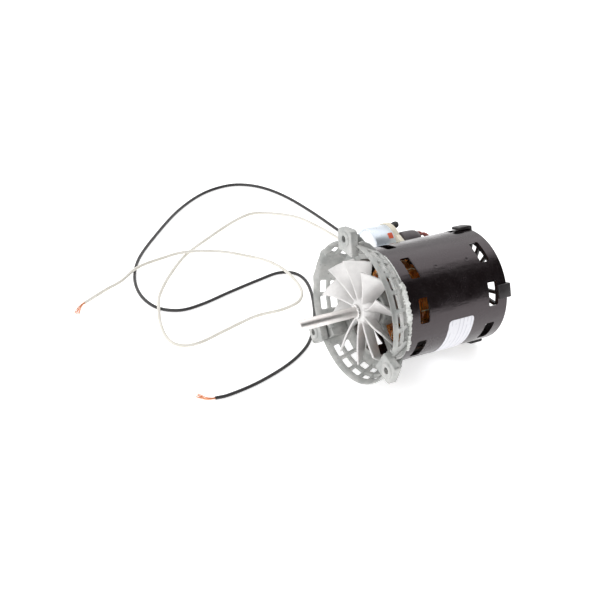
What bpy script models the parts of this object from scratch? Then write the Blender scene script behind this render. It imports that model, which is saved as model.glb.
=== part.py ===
"""Combustion fan motor: a 3.3 inch blower motor with its cooling fan, bracket, capacitor and two loose leads.

Everything on the motor is modelled in the motor's own axes: +Y runs along the shaft from the drive end to the
rear, +Z points at the top lug and the origin is on the shaft's axis in the plane of the bracket's front face.
One empty then lays the motor down: it rests on the bracket's ring, a lug's corner and a rear ear's corner.
Lengths are in millimetres until they reach a mesh, which is in metres.
"""

import math

import bmesh
import bpy
from mathutils import Matrix, Vector

MM = 0.001
TOUCH_GAP = 0.3
FIT_GAP = 0.05

# Driving sizes of the motor
SHELL_R = 42.0
SHELL_WALL = 1.2
SHELL_FRONT = 20.2
SHELL_REAR = 107.8
RING_R = 52.3
LUG_CIRCLE_R = 55.2
LUG_FACE = -3.8
LUG_BOSS_R = 5.8
LUG_HOLE_R = 2.4
LUG_ANGLES = (0, 120, 240)
LUG_HALF = 8.5
LUG_ROOT = 44
LUG_TOP = 64.8
LUG_BEVEL = 1.0
SHAFT_R = 3.97
SHAFT_TIP = -43.3
SHAFT_END = 108.0
CORE_FRONT = 48.0
CORE_REAR = 82.0
CORE_BORE_R = 20.5
EAR_ANGLES = (-8, 82, 172, 262)
EAR_HALF = 6.4
EAR_R = 44.3
EAR_REAR = 111.0
BOLT_ANGLES = (59.5, 149.5, 239.5, 329.5)
BOLT_CIRCLE_R = 37.4
BOLT_R = 2.0
BOLT_SEAT = 105.4
BEARING_R = 11.0
BEARING_WIDTH = 7.0
FRONT_BEARING = 22.2
REAR_BEARING = 98.8
FAN_BLADES = 10
FAN_R = 37.8
CAPACITOR_R = 14.6
CAPACITOR_ANGLE = -62
CAPACITOR_REACH = 58.7
LEAD_R = 1.3
ROUND = 32
SMOOTH_ANGLE = 35

# How the motor lies on its surface: on the ring, a corner of the lower left lug and a corner of a rear ear
ROLL = math.radians(16.7)
EAR_DEPTH = math.hypot(EAR_R, EAR_HALF) * math.cos(
    math.radians(180 - EAR_ANGLES[2]) + ROLL - math.atan(EAR_HALF / EAR_R)
)
RING_REST_R, RING_REST_Y = RING_R - 0.1, 4.6
TILT = math.atan((RING_REST_R - EAR_DEPTH) / (EAR_REAR - RING_REST_Y))
MOTOR_ORIGIN = (4.1, -35.45, 52.55)

# The leads' routes over the surface, from the grommet to the bare end, in the world's axes
BLACK_ROUTE = (
    (-42.1, 59.5, 42.4), (-58, 60, 38.5), (-82, 61, 21), (-108, 62.5, 6.8), (-128, 62, 2.5), (-146, 61, 1.5),
    (-165, 59, 1.4), (-199, 54.5, 1.4), (-232, 47.5, 1.4), (-256, 37, 1.4), (-271, 22, 1.4), (-276, 4, 1.4),
    (-272, -20, 1.4), (-256, -50, 1.4), (-230, -82, 1.4), (-203, -110, 1.4), (-178, -125, 1.4),
    (-153, -130.5, 1.4), (-132, -126, 1.4), (-120.5, -112, 1.4), (-119.5, -93, 1.4), (-124, -66, 1.4),
    (-128, -38, 1.4), (-129.5, -19, 1.4), (-123, -7.5, 1.4), (-110, -4.5, 1.4), (-90, -10, 1.4),
    (-64, -23, 1.4), (-41, -40, 1.4), (-29, -55, 1.4), (-20, -75, 1.4), (-13.5, -101, 1.4),
    (-11.5, -124, 1.4), (-13, -135, 1.4),
)
WHITE_ROUTE = (
    (-42.1, 55.5, 42.7), (-58, 55, 37), (-80, 55.5, 18), (-104, 56.5, 5.8), (-130, 55, 1.8), (-154, 52, 1.4),
    (-180, 45.5, 1.4), (-198, 38, 1.4), (-212, 24, 1.4), (-221.5, 7, 1.4), (-218, -13, 1.4), (-206, -41, 1.4),
    (-189, -74, 1.4), (-168, -98.5, 1.4), (-146, -116.5, 3.6), (-131, -125, 4.7), (-110, -133, 2.6),
    (-90, -135.5, 1.4), (-78.5, -129, 1.4), (-76, -115, 1.4), (-80.5, -92, 1.4), (-85.5, -64, 1.4),
    (-83.5, -41, 1.4), (-87, -24, 1.4), (-98, -15, 1.9), (-114, -13.5, 3.8), (-129, -15, 4.7),
    (-146, -19.5, 3.6), (-164, -30, 1.5), (-179, -48, 2.7), (-188.5, -74, 4.7), (-190.5, -95, 3.8),
    (-186, -119, 4.7), (-177.5, -137, 2.4), (-173.5, -152, 1.4), (-164.5, -173.5, 1.4),
)
BLACK_BARE_ROUTE = ((-13.1, -135.4, 1.4), (-16, -141, 1.4), (-22, -145, 1.4))
WHITE_BARE_ROUTE = ((-164.3, -173.9, 1.4), (-160.2, -179.5, 1.5), (-154, -184, 1.6))


def clear_scene():
    for item in list(bpy.data.objects):
        bpy.data.objects.remove(item, do_unlink=True)


def make_material(name, colour, roughness, metallic=0.0):
    material = bpy.data.materials.new(name)
    material.use_nodes = True
    shader = material.node_tree.nodes["Principled BSDF"]
    shader.inputs["Base Color"].default_value = (*colour, 1.0)
    shader.inputs["Roughness"].default_value = roughness
    shader.inputs["Metallic"].default_value = metallic
    return material


def make_empty(name, parent=None):
    empty = bpy.data.objects.new(name, None)
    bpy.context.scene.collection.objects.link(empty)
    empty.parent = parent
    return empty


def lay_down(motor):
    """Rolls the motor about its shaft, tilts its rear end down and sets it on the surface."""
    turn = Matrix.Rotation(-TILT, 4, "X") @ Matrix.Rotation(-ROLL, 4, "Y")
    motor.matrix_world = Matrix.Translation(Vector(MOTOR_ORIGIN) * MM) @ turn


def polar(radius, degrees, y):
    """The point at a radius and an angle about the shaft, measured from the top lug toward +X."""
    angle = math.radians(degrees)
    return Vector((radius * math.sin(angle), y, radius * math.cos(angle)))


def finish_mesh(name, bm, material, parent):
    """Turns a bmesh in millimetres into an object in metres whose origin is on the shaft's axis."""
    bmesh.ops.scale(bm, vec=(MM, MM, MM), verts=bm.verts)
    bmesh.ops.recalc_face_normals(bm, faces=bm.faces)
    mesh = bpy.data.meshes.new(name)
    bm.to_mesh(mesh)
    bm.free()
    mesh.materials.append(material)
    mesh.shade_smooth()
    mesh.set_sharp_from_angle(angle=math.radians(SMOOTH_ANGLE))
    obj = bpy.data.objects.new(name, mesh)
    bpy.context.scene.collection.objects.link(obj)
    obj.parent = parent
    return obj


def combine(target, operand, operation):
    """Adds an EXACT boolean with a guide object, which isn't part of the model."""
    operand.hide_render = True
    operand.display_type = "WIRE"
    modifier = target.modifiers.new(operation.title(), "BOOLEAN")
    modifier.operation = operation
    modifier.object = operand


def turned(bm, profile, segments, axis=(0.0, 0.0)):
    """A closed ring or a solid of revolution about a line along Y. A profile point is (radius, y); a solid's
    profile starts and ends at radius 0, and a ring's is a loop."""
    solid = profile[0][0] == 0
    rows = []
    for radius, y in profile:
        if radius == 0:
            rows.append([bm.verts.new((axis[0], y, axis[1]))])
            continue
        row = []
        for step in range(segments):
            point = polar(radius, 360 * step / segments, y)
            row.append(bm.verts.new(point + Vector((axis[0], 0, axis[1]))))
        rows.append(row)
    pairs = list(zip(rows, rows[1:]))
    if not solid:
        pairs.append((rows[-1], rows[0]))
    for first, second in pairs:
        for step in range(segments):
            after = (step + 1) % segments
            corners = [first[step % len(first)], first[after % len(first)]]
            corners += [second[after % len(second)], second[step % len(second)]]
            bm.faces.new(list(dict.fromkeys(corners)))
    return bm


def lattice(bm, stations, angles, filled, reach=None):
    """A wall turned about the shaft with cells left out. A station is a pair of profile points, (radius, y),
    of the wall's two faces. A column lies between two angles, which run round without the closing one;
    filled(column, row) says which cells exist. reach(angle) adds to the front ring's outer radius."""
    columns = len(angles)
    grid = {}

    def corner(column, row, side):
        key = (column % columns, row, side)
        if key not in grid:
            radius, y = stations[row][side]
            if reach and side == 0 and row in (1, 2):
                radius += reach(angles[column % columns])
            grid[key] = bm.verts.new(polar(radius, angles[column % columns], y))
        return grid[key]

    rows = len(stations) - 1
    for column in range(columns):
        for row in range(rows):
            if not filled(column, row):
                continue
            for side in (0, 1):
                square = [(column, row), (column + 1, row), (column + 1, row + 1), (column, row + 1)]
                bm.faces.new([corner(c, r, side) for c, r in square])
            before, after = (column - 1) % columns, (column + 1) % columns
            edges = (
                (not filled(before, row), (column, row), (column, row + 1)),
                (not filled(after, row), (column + 1, row), (column + 1, row + 1)),
                (row == 0 or not filled(column, row - 1), (column, row), (column + 1, row)),
                (row == rows - 1 or not filled(column, row + 1), (column, row + 1), (column + 1, row + 1)),
            )
            for is_open, a, b in edges:
                if is_open:
                    bm.faces.new([corner(*a, 0), corner(*b, 0), corner(*b, 1), corner(*a, 1)])
    return bm


def box(bm, low, high, angle=0.0):
    """A box given in an upright frame whose z points along the radius at an angle about the shaft."""
    made = bmesh.ops.create_cube(bm, size=1.0)["verts"]
    size = [b - a for a, b in zip(low, high)]
    centre = [(a + b) / 2 for a, b in zip(low, high)]
    turn = Matrix.Rotation(math.radians(angle), 4, "Y")
    place = turn @ Matrix.Translation(centre) @ Matrix.Diagonal((*size, 1))
    bmesh.ops.transform(bm, verts=made, matrix=place)
    return made


def prism(bm, outline, low, high, angle=0.0):
    """An outline of (y, z) points drawn out along x, then turned about the shaft."""
    turn = Matrix.Rotation(math.radians(angle), 4, "Y")
    ends = [[bm.verts.new(turn @ Vector((x, y, z))) for y, z in outline] for x in (low, high)]
    for end in ends:
        bm.faces.new(end)
    for index in range(len(outline)):
        after = (index + 1) % len(outline)
        bm.faces.new([ends[0][index], ends[0][after], ends[1][after], ends[1][index]])
    return bm


def plug(bm, outline, low, high, angle=0.0):
    """An outline of (x, z) points drawn out along y, then turned about the shaft."""
    turn = Matrix.Rotation(math.radians(angle), 4, "Y")
    ends = [[bm.verts.new(turn @ Vector((x, y, z))) for x, z in outline] for y in (low, high)]
    for end in ends:
        bm.faces.new(end)
    for index in range(len(outline)):
        after = (index + 1) % len(outline)
        bm.faces.new([ends[0][index], ends[0][after], ends[1][after], ends[1][index]])
    return bm


# ---- casings -------------------------------------------------------------------------------------

RIB_BAYS = 24
RIB_HALF = 1.6
CLOSED_WALL = 300
CLOSED_REACH = 9
SWELL_HEIGHT = 1.4
SWELL_OFFSET = 14
SWELL_REACH = 6
ARMS = 6
ARM_PHASE = 22.5
ARM_HALF = 2.6
BOLT_BOSS = ((-5, 33.2), (5, 33.2), (4.6, 39.6), (-4.6, 39.6))


def rib_angles(phase=0.0):
    """Two columns a bay: a thin rib and a window."""
    angles = []
    for bay in range(RIB_BAYS):
        middle = phase + bay * 360 / RIB_BAYS
        angles += [middle - RIB_HALF, middle + RIB_HALF]
    return angles


def near_angle(angle, targets, reach):
    return any(abs((angle - target + 180) % 360 - 180) < reach for target in targets)


def front_bracket(material, motor):
    """The die-cast ring, its cone with two rows of windows, three lugs, six arms and the bearing hub."""
    stations = (
        ((RING_R - 0.1, 0.6), (RING_R - 0.8, 0.6)),
        ((RING_R, 2.4), (50.2, 3.2)),
        ((RING_R - 0.5, 5.0), (49.5, 4.8)),
        ((49.5, 9.9), (47.0, 9.9)),
        ((48.6, 11.6), (46.1, 11.6)),
        ((45.6, 17.2), (43.2, 16.6)),
        ((44.2, 19.9), (41.0, 17.9)),
        ((40.4, 19.9), (39.5, 18.8)),
        ((40.2, 22.2), (38.0, 18.8)),
        ((35.6, 22.2), (35.6, 18.8)),
    )
    angles = rib_angles()

    def filled(column, row):
        if row not in (2, 4) or column % 2 == 0:
            return True
        middle = angles[column] + 180 / RIB_BAYS - RIB_HALF
        return near_angle(middle, (*LUG_ANGLES, CLOSED_WALL), CLOSED_REACH)

    def swell(angle):
        across = (angle - CLOSED_WALL + 180) % 360 - 180
        return SWELL_HEIGHT * max(0.0, 1 - abs(abs(across) - SWELL_OFFSET) / SWELL_REACH)

    cone = lattice(bmesh.new(), stations, angles, filled, swell)
    bracket = finish_mesh("front_bracket", cone, material, motor)
    parts = bmesh.new()
    shoulder, edge = LUG_TOP - LUG_BEVEL, LUG_HALF - LUG_BEVEL
    outline = ((-LUG_HALF, LUG_ROOT), (LUG_HALF, LUG_ROOT), (LUG_HALF, shoulder))
    outline += ((edge, LUG_TOP), (-edge, LUG_TOP), (-LUG_HALF, shoulder))
    for lug in LUG_ANGLES:
        plug(parts, outline, LUG_FACE + 0.8, 5.0, lug)
    combine(bracket, finish_mesh("guide_lugs", parts, material, motor), "UNION")
    parts = bmesh.new()
    for lug in LUG_ANGLES:
        boss = ((0, 0.5), (LUG_BOSS_R, 0.5), (LUG_BOSS_R, LUG_FACE), (0, LUG_FACE))
        turned(parts, boss, 20, polar(LUG_CIRCLE_R, lug, 0).xz)
        prism(parts, ((4, 44.5), (4, 58), (8, 56), (18, 45.2), (18, 42.5), (12, 44.5)), -2.6, 2.6, lug)
    combine(bracket, finish_mesh("guide_bosses", parts, material, motor), "UNION")
    parts = bmesh.new()
    for arm in range(ARMS):
        box(parts, (-ARM_HALF, 18.7, 12.8), (ARM_HALF, 22.1, 36.8), ARM_PHASE + arm * 360 / ARMS)
    combine(bracket, finish_mesh("guide_arms", parts, material, motor), "UNION")
    parts = bmesh.new()
    hub = ((8.4, 18.6), (13.6, 18.6), (14.8, 20.0), (14.4, 30.4), (BEARING_R + FIT_GAP, 30.4))
    hub += ((BEARING_R + FIT_GAP, FRONT_BEARING - FIT_GAP), (8.4, FRONT_BEARING - FIT_GAP))
    turned(parts, hub, ROUND)
    combine(bracket, finish_mesh("guide_hub", parts, material, motor), "UNION")
    parts = bmesh.new()
    for bolt in BOLT_ANGLES:
        plug(parts, BOLT_BOSS, 18.9, 27.0, bolt)
    combine(bracket, finish_mesh("guide_bolt_bosses", parts, material, motor), "UNION")
    parts = bmesh.new()
    for lug in LUG_ANGLES:
        hole = polar(LUG_CIRCLE_R, lug, 0)
        turned(parts, ((0, 12), (LUG_HOLE_R, 12), (LUG_HOLE_R, -8), (0, -8)), 16, hole.xz)
    for bolt in BOLT_ANGLES:
        hole = polar(BOLT_CIRCLE_R, bolt, 0)
        turned(parts, ((0, 29), (BOLT_R + TOUCH_GAP, 29), (BOLT_R + TOUCH_GAP, 17), (0, 17)), 12, hole.xz)
    combine(bracket, finish_mesh("guide_bracket_holes", parts, material, motor), "DIFFERENCE")


SHELL_COLUMNS = 72
SLOT_PHASE = -20.5
SLOT_PITCH = 9
SLOT_COLUMNS = 5
SLOT_ROWS = ((30.5, 38.7), (91.2, 99.2))
GROMMET_ANGLE = -75.5
GROMMET_Y = 93.5
LEAD_HOLE_R = 4.3


def shell_angles():
    return [SLOT_PHASE + column * 360 / SHELL_COLUMNS for column in range(SHELL_COLUMNS)]


def shell(material, motor):
    """The rolled tube, with eight slots in each of its two rows and a hole for the leads."""
    inner = SHELL_R - SHELL_WALL
    ys = (SHELL_FRONT, *SLOT_ROWS[0], *SLOT_ROWS[1], SHELL_REAR)
    stations = [((SHELL_R, y), (inner, y)) for y in ys]

    def filled(column, row):
        return row not in (1, 3) or column % SLOT_PITCH >= SLOT_COLUMNS

    tube = finish_mesh("shell", lattice(bmesh.new(), stations, shell_angles(), filled), material, motor)
    cutter = bmesh.new()
    made = bmesh.ops.create_cone(
        cutter, cap_ends=True, segments=20, radius1=LEAD_HOLE_R, radius2=LEAD_HOLE_R, depth=12
    )["verts"]
    place = Matrix.Rotation(math.radians(GROMMET_ANGLE), 4, "Y") @ Matrix.Translation((0, GROMMET_Y, SHELL_R))
    bmesh.ops.transform(cutter, verts=made, matrix=place)
    combine(tube, finish_mesh("guide_lead_hole", cutter, material, motor), "DIFFERENCE")


def rear_endshield(material, motor):
    """The rear casting: rim, thin spokes, bearing hub and four ears that hook over the shell's rim."""
    stations = (
        ((40.3, 103.4), (40.3, BOLT_SEAT)),
        ((37.2, 103.4), (37.2, BOLT_SEAT)),
        ((35.0, 102.2), (35.0, 105.0)),
        ((15.0, 101.5), (15.0, 104.5)),
        ((12.5, 101.5), (12.5, 104.5)),
    )
    angles = rib_angles(10.0)
    body = lattice(bmesh.new(), stations, angles, lambda column, row: row != 2 or column % 2 == 0)
    endshield = finish_mesh("rear_endshield", body, material, motor)
    parts = bmesh.new()
    bore = BEARING_R + FIT_GAP
    seat = REAR_BEARING + BEARING_WIDTH + 1.0
    turned(parts, ((bore, 98.4), (14.2, 98.4), (14.6, 109.4), (5.5, 109.4), (5.5, seat), (bore, seat)), ROUND)
    combine(endshield, finish_mesh("guide_rear_hub", parts, material, motor), "UNION")
    parts = bmesh.new()
    clear = SHELL_R + TOUCH_GAP
    over = SHELL_REAR + TOUCH_GAP
    hook = ((101.6, 35.4), (101.6, 40.2), (over, 40.2), (over, clear), (98.5, clear), (98.5, EAR_R))
    hook += ((EAR_REAR, EAR_R), (EAR_REAR, 35.4))
    for ear in EAR_ANGLES:
        prism(parts, hook, -EAR_HALF, EAR_HALF, ear)
    for bolt in BOLT_ANGLES:
        plug(parts, BOLT_BOSS, 102.0, BOLT_SEAT, bolt)
    combine(endshield, finish_mesh("guide_ears", parts, material, motor), "UNION")
    parts = bmesh.new()
    for bolt in BOLT_ANGLES:
        hole = polar(BOLT_CIRCLE_R, bolt, 0)
        turned(parts, ((0, 114), (BOLT_R + TOUCH_GAP, 114), (BOLT_R + TOUCH_GAP, 98), (0, 98)), 12, hole.xz)
    combine(endshield, finish_mesh("guide_endshield_holes", parts, material, motor), "DIFFERENCE")


def through_bolts(material, motor):
    for number, bolt in enumerate(BOLT_ANGLES, start=1):
        bm = bmesh.new()
        head = BOLT_SEAT + TOUCH_GAP
        profile = ((0, head + 2.2), (2.9, head + 2.2), (3.1, head), (BOLT_R, head), (BOLT_R, 19.4), (0, 19.4))
        turned(bm, profile, 12, polar(BOLT_CIRCLE_R, bolt, 0).xz)
        finish_mesh(f"through_bolt_{number}", bm, material, motor)


# ---- stator and rotor ----------------------------------------------------------------------------

TEETH = 24
TOOTH_TIP_HALF = 4.6
TOOTH_NECK_HALF = 3.4


def tooth_angles():
    angles = []
    for tooth in range(TEETH):
        middle = BOLT_ANGLES[0] + tooth * 360 / TEETH
        angles += [middle - TOOTH_TIP_HALF, middle - TOOTH_NECK_HALF]
        angles += [middle + TOOTH_NECK_HALF, middle + TOOTH_TIP_HALF]
    return angles


def stator_core(material, motor):
    """The lamination stack, with open slots between its teeth and four notches for the through bolts."""
    radii = (CORE_BORE_R, 22.0, 32.5, 34.6, 40.5)
    stations = [((radius, CORE_FRONT), (radius, CORE_REAR)) for radius in radii]
    angles = tooth_angles()

    def filled(column, row):
        place = column % 4
        if row == 0:
            return place != 3
        if row == 1:
            return place == 1
        if row == 2:
            return True
        return not (place in (0, 1, 2) and near_angle(angles[column - place] + TOOTH_TIP_HALF, BOLT_ANGLES, 5))

    finish_mesh("stator_core", lattice(bmesh.new(), stations, angles, filled), material, motor)


def stator_winding(material, motor):
    """Both end turns and the coil sides that join them through the core's slots."""
    ends = bmesh.new()
    front = ((26.5, 33.6), (31.5, 33.6), (34.6, 37.5), (34.4, 44.5))
    front += ((31.8, 47.4), (24.6, 47.4), (23.2, 44), (23.4, 37))
    turned(ends, front, 36)
    turned(ends, [(radius, CORE_FRONT + CORE_REAR - y) for radius, y in front], 36)
    winding = finish_mesh("stator_winding", ends, material, motor)
    sides = bmesh.new()
    for slot in range(TEETH):
        middle = BOLT_ANGLES[0] + (slot + 0.5) * 360 / TEETH
        box(sides, (-1.1, 46.0, 25.0), (1.1, 84.0, 31.6), middle)
    combine(winding, finish_mesh("guide_coil_sides", sides, material, motor), "UNION")


def rotor(steel, aluminium, spin):
    bore = SHAFT_R + FIT_GAP
    ring = ((bore, CORE_FRONT), (bore, CORE_REAR), (20, CORE_REAR), (20, CORE_FRONT))
    finish_mesh("rotor_core", turned(bmesh.new(), ring, ROUND), steel, spin)
    for name, near, far in (
        ("rotor_ring_front", CORE_FRONT - TOUCH_GAP, CORE_FRONT - 4.0),
        ("rotor_ring_rear", CORE_REAR + TOUCH_GAP, CORE_REAR + 4.0),
    ):
        end = ((12.5, near), (19.6, near), (19.0, far), (13.0, far))
        finish_mesh(name, turned(bmesh.new(), end, ROUND), aluminium, spin)


def shaft(material, spin):
    tip = SHAFT_TIP
    profile = ((0, SHAFT_END), (SHAFT_R - 0.4, SHAFT_END), (SHAFT_R, SHAFT_END - 0.5), (SHAFT_R, tip + 0.7))
    profile += ((SHAFT_R - 0.7, tip), (0, tip))
    finish_mesh("shaft", turned(bmesh.new(), profile, ROUND), material, spin)


def shaft_ring(name, low, high, radius, material, spin):
    bore = SHAFT_R + FIT_GAP
    profile = ((bore, low), (bore, high), (radius, high), (radius, low))
    finish_mesh(name, turned(bmesh.new(), profile, ROUND), material, spin)


FAN_PHASE = -48.0
FAN_TWIST = 23.3
FAN_FRONT = -0.4
FAN_REAR = 14.6
FAN_SET_BACK = 0.22
FAN_HUB_FRONT = 5.5
FAN_HUB_REAR = 17.0
BLADE_HALF = 0.42


def fan_blade(bm, angle):
    """One helicoidal blade: its angle grows toward the rear, and its front edge is set back at the hub."""
    steps = 3
    radii = (8.0, 22.0, FAN_R)
    sides = []
    for side in (-1, 1):
        rows = []
        for radius in radii:
            row = []
            front = FAN_FRONT + FAN_SET_BACK * (FAN_R - radius)
            for step in range(steps + 1):
                y = front + (FAN_REAR - front) * step / steps
                turn = angle + FAN_TWIST * (y - FAN_FRONT) / (FAN_REAR - FAN_FRONT)
                row.append(bm.verts.new(polar(radius, turn + side * math.degrees(BLADE_HALF / radius), y)))
            rows.append(row)
        sides.append(rows)
    last = len(radii) - 1
    for r in range(last):
        for s in range(steps):
            for rows in sides:
                bm.faces.new([rows[r][s], rows[r][s + 1], rows[r + 1][s + 1], rows[r + 1][s]])
        for s in (0, steps):
            bm.faces.new([sides[0][r][s], sides[0][r + 1][s], sides[1][r + 1][s], sides[1][r][s]])
    for r in (0, last):
        for s in range(steps):
            bm.faces.new([sides[0][r][s], sides[0][r][s + 1], sides[1][r][s + 1], sides[1][r][s]])


def fan(material, spin):
    bore = SHAFT_R + FIT_GAP
    profile = ((bore, FAN_HUB_FRONT), (bore, FAN_HUB_REAR), (12.0, FAN_HUB_REAR), (11.4, 12.0), (8.4, 7.6))
    profile += ((6.6, FAN_HUB_FRONT),)
    hub = finish_mesh("fan", turned(bmesh.new(), profile, ROUND), material, spin)
    blades = bmesh.new()
    for blade in range(FAN_BLADES):
        fan_blade(blades, FAN_PHASE + blade * 360 / FAN_BLADES)
    combine(hub, finish_mesh("guide_blades", blades, material, spin), "UNION")


# ---- bearings ------------------------------------------------------------------------------------

BALL_CIRCLE_R = 7.75
BALL_R = 1.55
BALLS = 7


def ball_bearing(end, low, steel, brass, motor, spin, cage_axis):
    high = low + BEARING_WIDTH
    outer = ((9.5, low), (BEARING_R, low), (BEARING_R, high), (9.5, high))
    finish_mesh(f"{end}_bearing_outer", turned(bmesh.new(), outer, ROUND), steel, motor)
    shaft_ring(f"{end}_bearing_inner", low, high, 6.0, steel, spin)
    middle = (low + high) / 2
    hoop = ((7.3, middle - 0.7), (8.2, middle - 0.7), (8.2, middle + 0.7), (7.3, middle + 0.7))
    cage = finish_mesh(f"{end}_bearing_cage", turned(bmesh.new(), hoop, 28), brass, cage_axis)
    balls = bmesh.new()
    for ball in range(BALLS):
        made = bmesh.ops.create_icosphere(balls, subdivisions=2, radius=BALL_R)["verts"]
        bmesh.ops.translate(balls, verts=made, vec=polar(BALL_CIRCLE_R, 360 * ball / BALLS, middle))
    combine(cage, finish_mesh(f"guide_{end}_balls", balls, steel, cage_axis), "UNION")


def wave_washer(material, motor):
    """A wavy spring ring between the rear bearing and its seat."""
    bm = bmesh.new()
    count = 36
    base = REAR_BEARING + BEARING_WIDTH + 0.2
    loops = []
    for radius, lift in ((8.2, 0.0), (10.6, 0.0), (10.6, 0.25), (8.2, 0.25)):
        loop = []
        for step in range(count):
            wave = 0.15 * (1 + math.cos(3 * math.tau * step / count))
            loop.append(bm.verts.new(polar(radius, 360 * step / count, base + lift + wave)))
        loops.append(loop)
    for first, second in zip(loops, loops[1:] + loops[:1]):
        for step in range(count):
            after = (step + 1) % count
            bm.faces.new([first[step], first[after], second[after], second[step]])
    finish_mesh("wave_washer", bm, material, motor)


# ---- capacitor -----------------------------------------------------------------------------------

CAN_FRONT = 49.5
CAN_REAR = 70.6
PLATE_LIFT = SHELL_R + TOUCH_GAP
PLATE_THICK = 0.6


def capacitor(materials, motor):
    """The can with its wound roll and lid, and the clamp and plate that hold it on the shell."""
    centre = polar(CAPACITOR_REACH, CAPACITOR_ANGLE, 0).xz
    wall = 0.8
    inner = CAPACITOR_R - wall
    can = ((0, CAN_FRONT + wall), (inner, CAN_FRONT + wall), (inner, CAN_REAR), (CAPACITOR_R, CAN_REAR))
    can += ((CAPACITOR_R, CAN_FRONT + 1.0), (CAPACITOR_R - 1.0, CAN_FRONT), (0, CAN_FRONT))
    finish_mesh("capacitor_can", turned(bmesh.new(), can, 40, centre), materials["can"], motor)
    lid = inner - TOUCH_GAP
    roll_front = CAN_FRONT + wall + TOUCH_GAP
    roll = ((0, 66), (lid - 0.4, 66), (lid - 0.4, roll_front), (0, roll_front))
    finish_mesh("capacitor_roll", turned(bmesh.new(), roll, 32, centre), materials["film"], motor)
    cap = ((0, CAN_REAR), (lid, CAN_REAR), (lid, 66.3), (0, 66.3))
    finish_mesh("capacitor_lid", turned(bmesh.new(), cap, 32, centre), materials["boot"], motor)
    bore = CAPACITOR_R + FIT_GAP
    band = ((bore, 66.8), (bore, CAN_REAR + 0.4), (bore + 0.8, CAN_REAR + 0.4), (bore + 0.8, 66.8))
    clamp = finish_mesh("capacitor_clamp", turned(bmesh.new(), band, 40, centre), materials["clamp"], motor)
    foot = bmesh.new()
    base = PLATE_LIFT + PLATE_THICK + TOUCH_GAP
    for side in (-1, 1):
        near, far = sorted((side * 9.0, side * 14.5))
        box(foot, (near, 66.9, base), (far, CAN_REAR + 0.3, CAPACITOR_REACH - 7.5), CAPACITOR_ANGLE)
    hollow = bmesh.new()
    turned(hollow, ((0, 80), (bore + 0.2, 80), (bore + 0.2, 60), (0, 60)), 40, centre)
    combine(clamp, finish_mesh("guide_clamp_feet", foot, materials["clamp"], motor), "UNION")
    combine(clamp, finish_mesh("guide_clamp_bore", hollow, materials["clamp"], motor), "DIFFERENCE")
    plate = bmesh.new()
    box(plate, (-15.5, 47.0, PLATE_LIFT), (15.5, 87.0, PLATE_LIFT + PLATE_THICK), CAPACITOR_ANGLE)
    finish_mesh("capacitor_plate", plate, materials["zinc"], motor)


BOOT_REACH = 51.5
BOOT_ANGLE = -56


def capacitor_boot(materials, motor):
    """The rubber boot over the joints behind the can, and the small rubber knob on the lid."""
    centre = polar(BOOT_REACH, BOOT_ANGLE, 0).xz
    profile = ((0, 92.0), (3.6, 91.4), (6.4, 89.4), (7.8, 86.0), (8.0, 76.0), (7.4, 73.6), (0, 73.6))
    boot = finish_mesh("capacitor_boot", turned(bmesh.new(), profile, 28, centre), materials["boot"], motor)
    below = bmesh.new()
    base = PLATE_LIFT + PLATE_THICK + TOUCH_GAP
    box(below, (-20, 70, base - 20), (26, 96, base), CAPACITOR_ANGLE)
    combine(boot, finish_mesh("guide_boot_seat", below, materials["boot"], motor), "DIFFERENCE")
    knob = polar(64.8, -50.5, 0).xz
    body = ((0, 77.2), (1.6, 76.8), (2.6, 75.4), (2.6, CAN_REAR + 0.7), (0, CAN_REAR + 0.7))
    finish_mesh("terminal_knob", turned(bmesh.new(), body, 20, knob), materials["rubber"], motor)
    mark = bmesh.new()
    reach = CAPACITOR_R + 0.06
    angles = [CAPACITOR_ANGLE + 50 + 9 * step for step in range(40)]
    stations = (((reach, 61.6), (reach + 0.15, 61.6)), ((reach, 65.6), (reach + 0.15, 65.6)))
    lattice(mark, stations, angles, lambda column, row: 6 <= column < 8)
    bmesh.ops.translate(mark, verts=mark.verts, vec=(centre[0], 0, centre[1]))
    finish_mesh("capacitor_mark", mark, materials["mark"], motor)


def tube(name, route, radius, material, parent):
    """A round cord along a POLY spline with closed ends. The route is in the parent's axes."""
    curve = bpy.data.curves.new(name, "CURVE")
    curve.dimensions = "3D"
    curve.bevel_depth = radius * MM
    curve.bevel_resolution = 2
    curve.use_fill_caps = True
    spline = curve.splines.new("POLY")
    spline.points.add(len(route) - 1)
    for point, place in zip(spline.points, route):
        point.co = (*(Vector(place) * MM), 1.0)
    curve.materials.append(material)
    obj = bpy.data.objects.new(name, curve)
    bpy.context.scene.collection.objects.link(obj)
    obj.parent = parent
    return obj


def smooth_route(points, spacing):
    """Evenly spaced points on a Catmull-Rom curve through the route's points."""
    points = [Vector(point) for point in points]
    padded = [points[0] * 2 - points[1], *points, points[-1] * 2 - points[-2]]
    fine = []
    for p0, p1, p2, p3 in zip(padded, padded[1:], padded[2:], padded[3:]):
        for step in range(24):
            t = step / 24
            bend = (2 * p0 - 5 * p1 + 4 * p2 - p3) * t**2 + (3 * p1 - p0 - 3 * p2 + p3) * t**3
            fine.append((2 * p1 + (p2 - p0) * t + bend) / 2)
    fine.append(points[-1])
    length = sum((b - a).length for a, b in zip(fine, fine[1:]))
    count = max(2, round(length / spacing))
    wanted, travelled, result = 0.0, 0.0, []
    for a, b in zip(fine, fine[1:]):
        step = (b - a).length
        while len(result) < count and travelled + step >= wanted:
            result.append(a.lerp(b, (wanted - travelled) / step))
            wanted += length / count
        travelled += step
    return [*result, points[-1]]


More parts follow.
